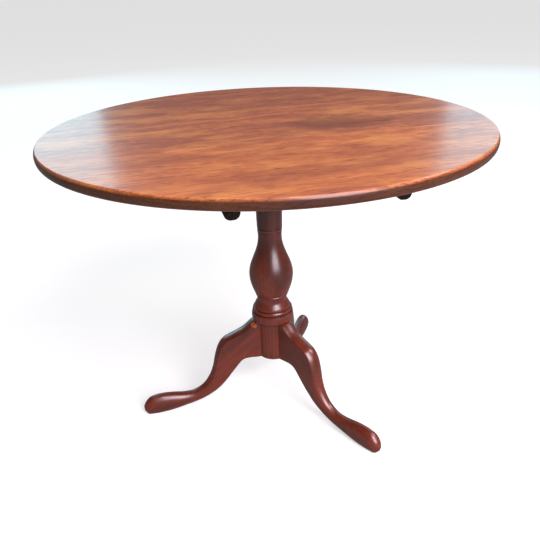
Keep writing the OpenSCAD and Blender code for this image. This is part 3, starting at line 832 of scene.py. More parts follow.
@dataclass
class Boards:
    """The three edge-glued boards of the round top."""

    rim_round: float = 5.0 * MM
    seam_ease: float = 0.25 * MM
    wear: float = 0.35 * MM
    rim_steps: int = 22
    arc_steps: int = 220
    seam_steps: int = 24

    def levels(self, radius: float, low: float, high: float) -> list[tuple[float, float, float]]:
        """Radius, height and seam inset of each level up the rim.

        Args:
            radius: Radius of the top.
            low: Height of the boards' underside.
            high: Height of their show face.

        Returns:
            The levels from the underside up.
        """
        half, mid = (high - low) / 2, (high + low) / 2
        rows = []
        for i in range(self.rim_steps + 1):
            a = math.radians(-90 + 180 * i / self.rim_steps)
            rows.append((radius - self.rim_round * (1 - math.cos(a)), mid + half * math.sin(a), 0.0))
        rows[0] = (*rows[0][:2], self.seam_ease)
        rows[-1] = (*rows[-1][:2], self.seam_ease)
        inner = (radius - self.rim_round - MM, self.seam_ease + MM)
        return [(inner[0], low, inner[1]), *rows, (inner[0], high, inner[1])]

    def outline(self, radius: float, front: float, back: float, z: float, whole: tuple[float, float]) -> list[Point]:
        """Outline of one board at one level.

        Args:
            radius: Radius of the level.
            front: Y of its front seam, or less than -radius.
            back: Y of its back seam, or more than radius.
            z: Height of the level.
            whole: Angles of the arc's ends at full radius, which fix the number of points.

        Returns:
            Points anticlockwise from the right arc's front end.
        """
        count = max(8, round(self.arc_steps * (whole[1] - whole[0]) / math.pi))
        first = math.asin(max(front / radius, -1.0))
        last = math.asin(min(back / radius, 1.0))
        angles = [first + (last - first) * i / count for i in range(count + 1)]
        right = [(radius * math.cos(a), radius * math.sin(a), z) for a in angles]
        left = [(-x, y, z) for x, y, z in reversed(right)]
        across = []
        for (x0, y0, _), (x1, y1, _) in ((right[-1], left[0]), (left[-1], right[0])):
            across.append([
                (x0 + (x1 - x0) * i / self.seam_steps, y0 + (y1 - y0) * i / self.seam_steps, z)
                for i in range(1, self.seam_steps)
            ])
        return right + across[0] + left + across[1]

    def board(self, node: str, radius: float) -> bpy.types.Object:
        """Builds one board between its seams, its rim slightly worn.

        Args:
            node: CAD node of the board, which gives its name and its seams.
            radius: Radius of the top.

        Returns:
            The linked object.
        """
        low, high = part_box(node)
        front = low[1] if low[1] > -radius + MM else -2 * radius
        back = high[1] if high[1] < radius - MM else 2 * radius
        whole = (math.asin(max(front / radius, -1.0)), math.asin(min(back / radius, 1.0)))
        verts: list[Point] = []
        rows = self.levels(radius, low[2], high[2])
        for i, (reach, z, inset) in enumerate(rows):
            ring = self.outline(reach, front + inset, back - inset, z, whole)
            rub = self.wear * max(0.0, math.sin(math.pi * i / (len(rows) - 1)))
            for x, y, _ in ring:
                dent = max(0.0, noise.noise(Vector((x * 30, y * 30, i * 0.35)))) * rub
                share = 1 - dent / radius if math.hypot(x, y) > reach - 1e-6 else 1.0
                verts.append((x * share, y * share if share < 1 else y, z))
        count = len(verts) // len(rows)
        faces = [
            (r * count + i, r * count + (i + 1) % count, (r + 1) * count + (i + 1) % count, (r + 1) * count + i)
            for r in range(len(rows) - 1) for i in range(count)
        ]
        faces += [tuple(reversed(range(count))), tuple(range(len(verts) - count, len(verts)))]
        return new_object(node + "_polished", verts, faces)

    def marks(self) -> list[Mark]:
        """Stains, streaks and dents of long use on the show face."""
        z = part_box("top_board_middle")[1][2]
        deep = 4 * MM
        return [
            Mark((0.150, -0.040, z), (0.170, 0.105, deep * 4), 0.66),
            Mark((0.3395, -0.3115, z), (0.0042, 0.0036, deep), 0.9, 0.2),
            Mark((-0.169, -0.139, z), (0.030, 0.0035, deep), 0.65),
            Mark((-0.058, -0.330, z), (0.016, 0.006, deep), 0.7),
            Mark((-0.020, -0.250, z), (0.045, 0.0030, deep), 0.5),
            Mark((0.030, 0.205, z), (0.200, 0.014, deep), 0.35),
        ]

    def dress(self) -> None:
        """Builds the boards and hands them over, each with its own figure and its own tones, which are painted light:
        lighter on the front board, darker on the back one.
        """
        low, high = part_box("top_board_middle")
        radius, thick = (high[0] - low[0]) / 2, high[2] - low[2]
        # The rim's lower half and the underside are darker: painted shade, where the rim turns downwards
        rim_painted_shade = DirtAndShadeLine(low[2] + 0.42 * thick, 0.56 * thick, 0.88, 0.30 * thick)
        # Tones step down from the front board to the back one: painted light, brighter towards the front
        figures = {
            "top_board_front": ((0.31, 0.28, 0.16), ("924c28", "ac6032", "c0743e")),
            "top_board_middle": ((-1.27, 0.06, 0.21), ("844428", "a05834", "b66c3e")),
            "top_board_back": ((2.43, -0.31, 0.13), ("7c3e26", "965030", "aa623a")),
        }
        for node, (pith, tones_with_painted_light) in figures.items():
            tones = replace(POLISHED_MAHOGANY, dark=tones_with_painted_light[0], mid=tones_with_painted_light[1], light=tones_with_painted_light[2])
            finish = tones.build(node, ALONG_X, pith, self.marks(), [rim_painted_shade])
            hand_over(self.board(node, radius), finish, Body.TOP, Slot.TOP, node)


@dataclass
class Screws:
    """Slotted countersunk screws of one CAD node."""

    node: str
    head_mm: float
    shank_mm: float
    length_mm: float
    body: Body
    slot: Slot
    drive: Point = (0.0, 0.0, 1.0)
    seed: int = 3

    def dress(self, tree: bpy.types.NodeTree, finish: bpy.types.Material) -> None:
        """Sets the screws where the CAD has them.

        Args:
            tree: The screw group.
            finish: Their material.
        """
        drive = Vector(self.drive).normalized()
        heads = island_heads(self.node, drive)
        source = bpy.data.meshes.new(self.node + "_points")
        source.from_pydata([tuple(h) for h in heads], [], [])
        attribute = source.attributes.new("drive", "FLOAT_VECTOR", "POINT")
        for entry in attribute.data:
            entry.vector = drive
        values = {
            "Head Diameter": self.head_mm * MM, "Shank Diameter": self.shank_mm * MM,
            "Length": self.length_mm * MM, "Slot Width": self.head_mm * MM / 8, "Seed": self.seed, "Material": finish,
        }
        piece = run_group(self.node + "_slotted", source, tree, values)
        hand_over(piece, finish, self.body, self.slot, self.node)


@dataclass
class Underframe:
    """Battens, pivot block, pins and wedge."""

    batten_ease: float = 1.0
    block_ease: float = 1.2
    pin_ease: float = 1.2

    def dress(self, turning: bpy.types.NodeTree) -> None:
        """Builds and hands over the timber under the top.

        Args:
            turning: The turning group.
        """
        for side, shift in (("left", 0.4), ("right", -0.7)):
            finish = STAINED_AND_SHADED_TIMBER.build("batten_" + side, ALONG_Y, (shift, 0.11, 0.05))
            batten = eased_copy("batten_" + side, f"batten_{side}_eased", self.batten_ease)
            hand_over(batten, finish, Body.TOP, Slot.DARK, "batten_" + side)
        finish = STAINED_AND_SHADED_TIMBER.build("pivot_block", ALONG_X, (0.9, 0.07, 0.11))
        block = eased_copy("pivot_block", "pivot_block_eased", self.block_ease)
        hand_over(block, finish, Body.BASE, Slot.DARK, "pivot_block")
        for side in ("left", "right"):
            node = "pivot_pin_" + side
            low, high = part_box(node)
            middle = centre(node)
            bar = eased_bar((high[2] - low[2]) / 2, high[0] - low[0], self.pin_ease * MM)
            seat = Matrix.Translation((low[0], middle.y, middle.z)) @ Matrix.Rotation(math.radians(90), 4, "Y")
            finish = MAPLE.build(node, ALONG_X, (0.2, 0.02, 0.03))
            piece = turned_piece(node + "_turned", bar, turning, finish, 64, seat)
            hand_over(piece, finish, Body.BASE, Slot.MAPLE, node)
        finish = MAPLE.build("tenon_wedge", ALONG_Z, (0.5, 0.01, 0.02))
        wedge = eased_copy("tenon_wedge", "tenon_wedge_split", 0.15)
        hand_over(wedge, finish, Body.BASE, Slot.MAPLE, "tenon_wedge")


@dataclass
class Column:
    """The turned baluster column. Radii in millimetres, heights above the collar's underside."""

    core_r: float = 41.0
    collar_r: float = 50.6
    band_h: float = 19.5
    ovolo_h: float = 13.5
    ovolo_r: float = 44.7
    waist_r: float = 36.2
    waist_z: float = 56.0
    ring_h: float = 15.0
    ring_r: float = 4.2
    bulb_r: float = 53.1
    bulb_z: float = 122.0
    lower_arc: float = 77.0
    lower_steps: int = 26
    upper_steps: int = 44
    upper_warp: float = 1.08
    throat_r: float = 28.0
    throat_z: float = 222.0
    shaft_r: float = 29.7
    shaft_z: float = 244.0
    shoulder_r: float = 33.0
    tenon_r: float = 22.0
    score: float = 1.2
    foot_ease: float = 2.5
    leg_t: float = 35.0
    housing: float = 0.5
    sides: int = 192

    @staticmethod
    def bead(z0: float, z1: float, r: float, h: float, n: int) -> Outline:
        """Half-round moulding between two heights: a bead where h is positive, a groove where it is negative."""
        return [(r + h * math.sin(math.pi * i / n), z0 + (z1 - z0) * i / n) for i in range(n + 1)]

    @staticmethod
    def swell(z0: float, r0: float, z1: float, r1: float, n: int, warp: float = 1.0) -> Outline:
        """Half-cosine run between two radii, level at both ends."""
        return [
            (r0 + (r1 - r0) * (1 - math.cos(math.pi * (i / n) ** warp)) / 2, z0 + (z1 - z0) * i / n)
            for i in range(n + 1)
        ]

    def outline(self, foot: float, collar: float, block_low: float, tenon_top: float) -> Outline:
        """Outline from the foot's centre up to the tenon's centre, in metres.

        Args:
            foot: Height of the column's lower end.
            collar: Height of the collar's underside.
            block_low: Height of the block's underside.
            tenon_top: Height of the tenon's end.

        Returns:
            Radius and height of each point.
        """
        ovolo_z = self.band_h + self.ovolo_h
        low_z, low_r = self.waist_z + self.ring_h, self.waist_r + self.ring_r
        start_r, n, m = self.waist_r + 0.8, self.lower_steps, self.upper_steps
        lower = [
            (start_r + (self.bulb_r - start_r) * math.cos(math.radians(self.lower_arc * (1 - i / n))),
             low_z + (self.bulb_z - low_z) * i / n)
            for i in range(n + 1)
        ]
        upper = [
            (self.throat_r
             + (self.bulb_r - self.throat_r) * (1 - math.cos(math.pi * (1 - i / m) ** self.upper_warp)) / 2,
             self.throat_z - (self.throat_z - self.bulb_z) * (1 - i / m))
            for i in range(1, m + 1)
        ]
        turned = [
            # Collar: a plain band hardly crowned, a groove, an ovolo and a flare up to the waist
            *self.bead(0.0, self.band_h, self.collar_r, 1.3, 14),
            *self.bead(self.band_h, self.band_h + 2, self.collar_r - 0.6, -0.9, 8),
            *self.bead(self.band_h + 2, ovolo_z - 1.5, self.collar_r - 3.4, 2, 14),
            (self.ovolo_r - 1.2, ovolo_z - 0.8),
            *self.swell(ovolo_z, self.ovolo_r, self.waist_z, self.waist_r, 20),
            # Waist: a fillet and a fine ring, then the bulb up to the throat
            (self.waist_r + 0.6, self.waist_z + 7),
            *self.bead(self.waist_z + 9.5, low_z - 1, low_r - 1.6, 1, 8),
            (low_r - 1.4, low_z - 0.4),
            *lower,
            *upper,
            # Shaft: a light score, a swelling and a deeper score below the straight top
            *self.bead(self.shaft_z - 12, self.shaft_z - 10.5, self.throat_r + 0.7, -self.score / 2, 6),
            (self.throat_r + 1.2, self.shaft_z - 9.5),
            (self.shaft_r - 0.5, self.shaft_z - 3),
            *self.bead(self.shaft_z - 2.8, self.shaft_z, self.shaft_r, -self.score, 8),
        ]
        metres = [(r * MM, collar + z * MM) for r, z in turned]
        core, tenon, ease, foot_ease = self.core_r * MM, self.tenon_r * MM, 0.8 * MM, self.foot_ease * MM
        return [
            (0.0, foot), (core - foot_ease, foot), (core, foot + foot_ease), (core, collar), *metres,
            (self.shoulder_r * MM, block_low), (tenon, block_low), (tenon, tenon_top - ease),
            (tenon - ease, tenon_top), (0.0, tenon_top),
        ]

    def dirt_and_shade(self, collar: float) -> list[DirtAndShadeLine]:
        """Darker lines: old polish and painted shade in the grooves, a painted shadow under the collar's overhang, and
        painted shade on the top of the shaft under the boards.
        """
        lines = (
            # Painted shadow under the collar's overhang, then the grooves: old polish and painted shade
            (-6.5, 4.0, 0.85), (self.band_h + 1, 1.4, 0.35), (self.band_h + 12.5, 1.4, 0.35),
            (self.waist_z + 15, 1.8, 0.45), (self.shaft_z - 11.2, 1.5, 0.6), (self.shaft_z - 1.6, 2.2, 0.9),
            # Painted shade on the top of the shaft, under the boards
            (345.0, 150.0, 0.95),
        )
        return [DirtAndShadeLine(collar + z * MM, w * MM, strength) for z, w, strength in lines]

    def dress(self, turning: bpy.types.NodeTree, tails: list[bpy.types.Object]) -> None:
        """Turns the column, cuts the seats and sockets for the legs, and hands it over.

        Args:
            turning: The turning group.
            tails: Solids of the legs' dovetails with their gap, which are used up.
        """
        low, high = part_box("column")
        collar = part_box("leg_left")[1][2] + 0.2 * MM
        block_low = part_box("pivot_block")[0][2]
        outline = self.outline(low[2], collar, block_low, high[2])
        finish = WAXED_MAHOGANY.build("column", ALONG_Z, (0.0, 0.035, 0.02), dirt_and_shade=self.dirt_and_shade(collar))
        rough = turned_piece("column_turned", outline, turning, finish, self.sides, Matrix.Identity(4))
        seat_x = math.sqrt(self.core_r**2 - (self.leg_t / 2) ** 2) * MM
        half, deep = (self.leg_t / 2 + 1) * MM, self.core_r * MM
        cutters = list(tails)
        for leg in Leg:
            turn = Matrix.Rotation(math.radians(leg.value[1]), 4, "Z")
            corners = [
                turn @ Vector((x, y, z))
                for x in (seat_x, seat_x + deep) for y in (-half, half)
                for z in (low[2] - MM, collar + self.housing * MM)
            ]
            faces = ((0, 1, 3, 2), (4, 6, 7, 5), (0, 4, 5, 1), (2, 3, 7, 6), (0, 2, 6, 4), (1, 5, 7, 3))
            cutters.append(new_object(leg.value[0] + "_seat", corners, faces))
        piece = combine(rough, cutters, "DIFFERENCE")
        hand_over(piece, finish, Body.BASE, Slot.BASE, "column")


@dataclass
class Legs:
    """Three cabriole legs, their dovetails and the pellet over the left leg's screw.

    A leg is drawn along +X. Each rib is upper reach, upper height, lower reach, lower height,
    half width and roundness, in millimetres; roundness runs from 0, flat sides, to 1, an ellipse.
    """

    seat_x: float = 37.08
    rise: float = 229.0
    foot_z: float = 124.0
    thick: float = 35.0
    crown: float = 4.5
    lower_crown: float = 2.0
    tip_push: float = 1.8
    tip_steps: int = 6
    tail_neck: float = 13.0
    tail_end: float = 19.0
    tail_depth: float = 13.0
    tail_top: float = 217.0
    fit: float = 0.05
    span_steps: int = 6
    pellet_d: float = 14.5
    pellet_l: float = 8.0
    pellet_dome: float = 0.9
    pellet_lean: Point = (27.0, -38.0, 0.0)
    # Pellet's face: outwards from the seat, in from the leg's flat side, and down from its top
    pellet_place: Point = (15.6, 4.2, 9.0)
    run: tuple[tuple[float, ...], ...] = (
        (77, 208.4, 64, 125.5, 17.5, 0), (109, 194.4, 77, 125, 17.5, 0), (129.6, 185, 86, 120.5, 17.5, 0.05),
        (143.7, 167.6, 94, 111.5, 17.5, 0.1), (153, 142, 109, 90.5, 17.5, 0.25), (161, 109, 123, 71, 17.3, 0.5),
        (173, 80, 146, 45.5, 16.8, 0.8), (191, 57, 176, 26, 16, 1), (215, 44.5, 209, 13.5, 15.6, 1),
        (240, 43.5, 239, 6.5, 16, 1), (270, 48.5, 270, -0.5, 17.3, 1), (300, 50.5, 300, -4, 18, 1),
        (324, 46.5, 322, -4, 17.3, 1), (338, 35, 335, -2.5, 13.8, 1), (344, 25, 343, 6, 7, 1),
    )
    quarter: tuple[float, ...] = (0, 0.5, 1, 1.4, 1.7, 1.86, 1.96, 2.04, 2.14, 2.35, 2.7, 3.1, 3.6, 4.1, 4.6, 5)

    def ribs(self) -> list[tuple[float, ...]]:
        """Ribs along the smooth curve through the keys, and a rounded tip."""
        top, half = self.rise, self.thick / 2
        keys = [
            (self.seat_x, top - 0.2, self.seat_x, self.foot_z, half, 0),
            (self.seat_x + 13, top - 0.6, self.seat_x + 12, self.foot_z, half, 0),
            *self.run,
        ]
        ribs = []
        for i in range(len(keys) - 1):
            a, b, c, d = keys[max(i - 1, 0)], keys[i], keys[i + 1], keys[min(i + 2, len(keys) - 1)]
            for j in range(self.span_steps):
                t = j / self.span_steps
                ribs.append(tuple(
                    (2 * q + (r - p) * t + (2 * p - 5 * q + 4 * r - s) * t**2 + (3 * q - p - 3 * r + s) * t**3) / 2
                    for p, q, r, s in zip(a, b, c, d)
                ))
        end = keys[-1]
        mid = ((end[0] + end[2]) / 2, (end[1] + end[3]) / 2)
        for step in range(self.tip_steps):
            turn = math.radians(90 * step / self.tip_steps)
            share, push = math.cos(turn), self.tip_push * math.sin(turn)
            ribs.append((
                mid[0] + push + (end[0] - mid[0]) * share, mid[1] + (end[1] - mid[1]) * share,
                mid[0] + push + (end[2] - mid[0]) * share, mid[1] + (end[3] - mid[1]) * share, end[4] * share, 1,
            ))
        return ribs

    def ring(self, rib: tuple[float, ...]) -> list[Vector]:
        """Points round one rib, in millimetres, with its arrises softened.

        Args:
            rib: The rib.

        Returns:
            The closed ring's points.
        """
        half = Vector((rib[0] - rib[2], 0, rib[1] - rib[3])) / 2
        mid = Vector((rib[0] + rib[2], 0, rib[1] + rib[3])) / 2
        size, last = max(half.length, 1e-6), 5.0
        marks = [(t, 1, 1) for t in self.quarter] + [(t, -1, 1) for t in reversed(self.quarter[:-1])]
        marks += [(t, -1, -1) for t in self.quarter[1:]] + [(t, 1, -1) for t in reversed(self.quarter[1:-1])]
        points = []
        for t, near, upper in marks:
            crown = (self.crown if upper > 0 else self.lower_crown) / size
            flat_v = 1.0 if t <= 2 else (last - t) / 3
            flat_w = t / 2 * (1 - crown) if t <= 2 else 1 - crown * flat_v**2
            turn = math.radians(90 * t / last)
            v = near * (flat_v * (1 - rib[5]) + math.cos(turn) * rib[5])
            w = upper * (flat_w * (1 - rib[5]) + math.sin(turn) * rib[5])
            points.append(mid + half * w + Vector((0, rib[4] * v, 0)))
        for _ in range(2):
            points = [
                p * 0.5 + (points[i - 1] + points[(i + 1) % len(points)]) * 0.25
                if 1.5 < marks[i][0] < 2.5 else p
                for i, p in enumerate(points)
            ]
        return points

    def tail(self, leg: Leg, gap: float) -> bpy.types.Object:
        """Makes one leg's dovetail as a solid.

        Args:
            leg: The leg.
            gap: Millimetres added all round for its socket.

        Returns:
            The linked solid.
        """
        neck, end = self.tail_neck / 2 + gap, self.tail_end / 2 + gap
        near, deep = self.seat_x, self.seat_x - self.tail_depth - gap
        flat = ((near + 1, -neck), (near, -neck), (deep, -end), (deep, end), (near, neck), (near + 1, neck))
        turn = Matrix.Rotation(math.radians(leg.value[1]), 4, "Z")
        verts = [
            turn @ (Vector((x, y, z)) * MM) for z in (self.foot_z - gap, self.tail_top + gap) for x, y in flat
        ]
        faces = [tuple(range(6)), tuple(range(6, 12)), *[(i, (i + 1) % 6, (i + 1) % 6 + 6, i + 6) for i in range(6)]]
        return new_object(leg.value[0] + "_tail", verts, faces)

    def pellet_seat(self) -> Matrix:
        """Place of the pellet's inner end, with its axis pointing out of the leg along +Z."""
        out, inwards, down = self.pellet_place
        at = Vector((-self.seat_x - out, inwards - self.thick / 2, self.rise - down)) * MM
        lean = [math.radians(a) for a in self.pellet_lean]
        turn = Matrix.Rotation(lean[2], 4, "Z") @ Matrix.Rotation(lean[1], 4, "Y") @ Matrix.Rotation(lean[0], 4, "X")
        return Matrix.Translation(at) @ turn @ Matrix.Translation((0, 0, -self.pellet_l * MM))

    def leg(self, leg: Leg, turning: bpy.types.NodeTree, finish: bpy.types.Material) -> bpy.types.Object:
        """Builds one leg with its dovetail, and with the pellet's hole in the left one.

        Args:
            leg: The leg.
            turning: The turning group.
            finish: Its material.

        Returns:
            The linked object.
        """
        node, angle = leg.value
        rings = [self.ring(rib) for rib in self.ribs()]
        count = len(rings[0])
        turn = Matrix.Rotation(math.radians(angle), 4, "Z")
        verts = [turn @ (Vector((p.x, p.y, max(p.z, 0.0))) * MM) for ring in rings for p in ring]
        faces = [
            (r * count + i, r * count + (i + 1) % count, (r + 1) * count + (i + 1) % count, (r + 1) * count + i)
            for r in range(len(rings) - 1) for i in range(count)
        ]
        faces += [tuple(range(count)), tuple(range(len(verts) - count, len(verts)))]
        piece = combine(new_object(node + "_carved", verts, faces), [self.tail(leg, 0.0)], "UNION")
        if leg is Leg.LEFT:
            radius = (self.pellet_d / 2 + self.fit) * MM
            bar = eased_bar(radius, 4 * self.pellet_l * MM, 0.01 * MM)
            hole = turned_piece("pellet_hole", bar, turning, finish, 48, self.pellet_seat())
            piece = combine(piece, [hole], "DIFFERENCE")
        return piece

    def dress(self, turning: bpy.types.NodeTree) -> list[bpy.types.Object]:
        """Builds and hands over the legs and the pellet.

        Args:
            turning: The turning group.

        Returns:
            Solids of the dovetails' sockets, for the column.
        """
        knee, toe = self.run[0], self.run[-1]
        fall = math.atan2(knee[1] - toe[1], toe[0] - knee[0])
        for number, leg in enumerate(Leg):
            grain = Matrix.Rotation(-fall, 4, "Y") @ Matrix.Rotation(math.radians(-leg.value[1]), 4, "Z")
            finish = WAXED_MAHOGANY.build(leg.value[0], grain, (0.7 * number, 0.03, 0.05 + 0.02 * number))
            hand_over(self.leg(leg, turning, finish), finish, Body.BASE, Slot.BASE, leg.value[0])
        seat = self.pellet_seat()
        radius, length, rise = self.pellet_d / 2, self.pellet_l, self.pellet_dome
        dome = [(0.0, 0.0), (radius, 0.0), (radius, length - 0.5)]
        for step in range(9):
            turn = math.radians(10 * step)
            dome.append(((radius - 0.4) * math.cos(turn), length - 0.3 + rise * (math.sin(turn) - 0.6)))
        dome.append((0.0, length - 0.3 + rise * 0.4))
        finish = PELLET_WOOD.build("pellet", seat.to_3x3().inverted().to_4x4(), (0.1, 0.02, 0.03))
        outline = [(r * MM, z * MM) for r, z in dome]
        piece = turned_piece("leg_pellet_domed", outline, turning, finish, 48, seat)
        hand_over(piece, finish, Body.BASE, Slot.PELLET, "leg_pellet")
        return [self.tail(leg, self.fit) for leg in Leg]


@dataclass
class Catch:
    """The brass catch, its bolt, knob and leaf spring, and the keeper in the block's end."""

    stud_r: float = 2.0
    neck_r: float = 3.5
    neck_l: float = 2.6
    neck_lip: float = 0.8
    ball_r: float = 7.5
    ball_drop: float = 13.0
    groove: float = 0.25
    fit: float = 0.05

    def knob(self, turning: bpy.types.NodeTree, finish: bpy.types.Material) -> bpy.types.Object:
        """Turns the knob with its stud, a collar and a shallow groove round its ball.

        Args:
            turning: The turning group.
            finish: Its material.

        Returns:
            The plain object.
        """
        low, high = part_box("catch_knob")
        middle = centre("catch_knob")
        bolt_r = (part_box("catch_bolt")[1][2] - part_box("catch_bolt")[0][2]) / 2 / MM
        bolt_z = centre("catch_bolt").z
        top = bolt_r + self.fit
        outline = [(0.0, high[2])]
        outline += [(self.stud_r * MM, high[2]), (self.stud_r * MM, bolt_z - top * MM)]
        outline.append((self.neck_r * MM, bolt_z - top * MM))
        outline.append(((self.neck_r - 0.1) * MM, bolt_z - (top + self.neck_lip) * MM))
        for i in range(9):
            z = self.neck_lip + self.neck_l * i / 8
            waist = self.neck_r - 0.9 + 0.5 * math.cos(math.pi * z / self.neck_l)
            outline.append((waist * MM, bolt_z - (top + z) * MM))
        for i in range(37):
            a = math.radians(65 - 155 * i / 36)
            ball = self.ball_r - (self.groove if 15 <= i <= 17 else 0.0)
            drop = top + self.ball_drop - ball * math.sin(a)
            outline.append((max(ball * math.cos(a), 0.0) * MM, bolt_z - drop * MM))
        outline[-1] = (0.0, low[2])
        return turned_piece(
            "catch_knob_turned", outline, turning, finish, 64, Matrix.Translation((middle.x, middle.y, 0.0))
        )

    def dress(self, turning: bpy.types.NodeTree, brass: bpy.types.Material) -> None:
        """Builds and hands over the catch.

        Args:
            turning: The turning group.
            brass: Finish of its brass pieces.
        """
        hand_over(eased_copy("catch_plate", "catch_plate_cast", 0.5), brass, Body.TOP, Slot.BRASS, "catch_plate")
        hand_over(eased_copy("catch_bolt", "catch_bolt_filed", 0.3), brass, Body.BOLT, Slot.BRASS, "catch_bolt")
        hand_over(self.knob(turning, brass), brass, Body.BOLT, Slot.BRASS, "catch_knob")
        leaf = eased_copy("catch_leaf_spring", "catch_leaf_spring_bent", 0.08)
        hand_over(leaf, SPRING_STEEL.build(), Body.TOP, Slot.SPRING, "catch_leaf_spring")
        hand_over(eased_copy("keeper_plate", "keeper_plate_let_in", 0.2), brass, Body.BASE, Slot.BRASS, "keeper_plate")


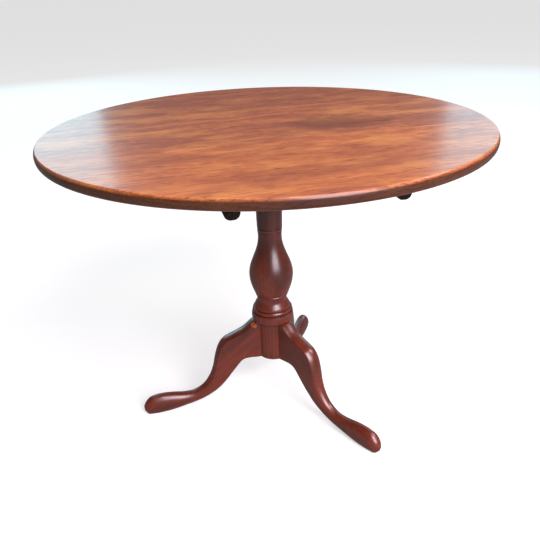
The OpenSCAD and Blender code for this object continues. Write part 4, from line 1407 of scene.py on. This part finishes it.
@dataclass
class Studio:
    """Pale floor, soft daylight, cool windows beyond the table and brighter ones behind the camera and beside."""

    floor_shade: str = "c9c9c8"
    floor_glow: float = 0.54
    # Share of the floor's light that a polished surface mirrors, as if dark cloths lay about the table
    flagged: float = 0.18
    floor_half: float = 80.0
    sky: float = 0.16
    backdrop: float = 1.0
    sun: float = 0.7
    sun_turn: float = 20.0
    sun_height: float = 80.0
    sun_spread: float = 60.0
    # Each window: heading from the table in degrees clockwise from +Y, height angle, distance,
    # width, height, brightness and colour
    windows: tuple[tuple[float, float, float, float, float, float, str], ...] = (
        (-15.0, 17.0, 6.0, 2.0, 2.6, 3.1, "b8f0ff"),
        (43.0, 17.0, 6.0, 2.0, 2.6, 2.2, "a4ecff"),
        (162.0, 34.0, 3.6, 2.1, 3.2, 12.5, "fff0fa"),
        (100.0, 40.0, 3.5, 0.8, 1.1, 16.0, "ffeef2"),
        (11.0, 35.0, 5.0, 3.0, 0.9, 1.2, "f2eef6"),
    )

    def build(self) -> None:
        """Makes the floor, the sky and the lights."""
        material, tree = new_material("matt_pale_floor")
        place = add_node(tree, "ShaderNodeTexCoord").outputs["Object"]
        mottle = add_node(tree, "ShaderNodeTexNoise", {"Vector": place, "Scale": 0.8, "Detail": 2.0}).outputs["Fac"]
        rough = add_node(
            tree, "ShaderNodeMapRange", {"Value": mottle, "To Min": 0.85, "To Max": 0.95}
        ).outputs[0]
        mirrored = add_node(tree, "ShaderNodeLightPath").outputs["Is Glossy Ray"]
        glow = add_node(
            tree, "ShaderNodeMapRange",
            {"Value": mirrored, "To Min": self.floor_glow, "To Max": self.floor_glow * self.flagged},
        ).outputs[0]
        pale = colour(self.floor_shade)
        dim = (*(c * self.flagged for c in pale[:3]), 1.0)
        shade = add_node(tree, "ShaderNodeMix", {0: mirrored, 6: pale, 7: dim}, data_type="RGBA").outputs[2]
        shader = add_node(
            tree, "ShaderNodeBsdfPrincipled",
            {"Base Color": shade, "Roughness": rough, "Specular IOR Level": 0.0,
             "Emission Color": (1.0, 1.0, 1.0, 1.0), "Emission Strength": glow},
        )
        add_node(tree, "ShaderNodeOutputMaterial", {"Surface": shader.outputs[0]})
        half = self.floor_half
        corners = [(-half, -half, 0), (half, -half, 0), (half, half, 0), (-half, half, 0)]
        floor = new_object("studio_floor", corners, [(0, 1, 2, 3)])
        floor.data.materials.append(material)
        world = bpy.data.worlds.new("soft_sky")
        world.use_nodes = True
        sky = world.node_tree
        sky.nodes.clear()
        seen = add_node(sky, "ShaderNodeLightPath").outputs["Is Camera Ray"]
        level = add_node(sky, "ShaderNodeMapRange", {"Value": seen, "To Min": self.sky, "To Max": self.backdrop})
        light = add_node(sky, "ShaderNodeBackground", {"Strength": level.outputs[0]})
        add_node(sky, "ShaderNodeOutputWorld", {"Surface": light.outputs[0]})
        bpy.context.scene.world = world
        sun = bpy.data.lights.new("soft_sun", "SUN")
        sun.energy, sun.angle = self.sun, math.radians(self.sun_spread)
        self.hang("soft_sun", sun, self.sun_turn, self.sun_height, 6.0)
        for number, (turn, height, away, width, tall, bright, shade) in enumerate(self.windows):
            light = bpy.data.lights.new(f"window_{number}", "AREA")
            light.shape, light.size, light.size_y = "RECTANGLE", width, tall
            light.energy = bright * math.pi * width * tall
            light.color = colour(shade)[:3]
            self.hang(f"window_{number}", light, turn, height, away)

    @staticmethod
    def hang(name: str, light: bpy.types.Light, turn: float, height: float, away: float) -> None:
        """Hangs a light that faces the table.

        Args:
            name: Name of the light.
            light: Its data.
            turn: Heading from the table in degrees clockwise from +Y.
            height: Height angle above the middle of the table in degrees.
            away: Distance in metres.
        """
        lamp = bpy.data.objects.new(name, light)
        a, b = math.radians(turn), math.radians(height)
        way = Vector((math.sin(a) * math.cos(b), math.cos(a) * math.cos(b), math.sin(b)))
        lamp.location = way * away + Vector((0, 0, 0.5))
        lamp.rotation_euler = way.to_track_quat("Z", "Y").to_euler()
        lamp.visible_camera = False
        bpy.context.scene.collection.objects.link(lamp)


@dataclass
class Viewpoint:
    """Camera in front of the table, a little left of its middle and above the top."""

    place: Point = (-0.2944, -1.2732, 1.0013)
    heading: float = 12.91
    dip: float = 26.20
    roll: float = -2.109
    lens: float = 40.03

    def build(self) -> None:
        """Makes the camera."""
        camera = bpy.data.cameras.new("main")
        camera.lens, camera.sensor_width = self.lens, 36.0
        camera.clip_end = 400.0
        eye = bpy.data.objects.new("main", camera)
        turn = (
            Matrix.Rotation(math.radians(-self.heading), 4, "Z")
            @ Matrix.Rotation(math.radians(90 - self.dip), 4, "X")
            @ Matrix.Rotation(math.radians(self.roll), 4, "Z")
        )
        eye.matrix_world = Matrix.Translation(self.place) @ turn
        bpy.context.scene.collection.objects.link(eye)
        bpy.context.scene.camera = eye


def main() -> None:
    """Builds the studio and every sub-assembly."""
    Viewpoint().build()
    bpy.context.scene.view_settings.view_transform = "Standard"
    Studio().build()
    turning, slotted = turning_group(), screw_group()
    brass, steel, iron = AGED_BRASS.build(), BLUED_STEEL.build(), FORGED_IRON.build()
    Boards().dress()
    Underframe().dress(turning)
    legs = Legs()
    Column().dress(turning, legs.dress(turning))
    plate = eased_copy("brace_plate", "brace_plate_forged", 0.4)
    hand_over(plate, iron, Body.BASE, Slot.IRON, "brace_plate")
    Catch().dress(turning, brass)
    lean = -(legs.pellet_seat().to_3x3() @ Vector((0, 0, 1)))
    for screws, finish in (
        (Screws("batten_screws", 9, 4.5, 36, Body.TOP, Slot.STEEL), steel),
        (Screws("leg_screw", 9, 5, 46, Body.BASE, Slot.STEEL, tuple(lean)), steel),
        (Screws("brace_screws", 8, 4, 22, Body.BASE, Slot.STEEL, seed=8), steel),
        (Screws("catch_screws", 6.4, 3.2, 15, Body.TOP, Slot.BRASS_SCREWS, seed=5), brass),
        (Screws("keeper_screws", 6, 3, 14, Body.BASE, Slot.BRASS_SCREWS, (0, -1, 0)), brass),
    ):
        screws.dress(slotted, finish)


if __name__ == "__main__":
    main()
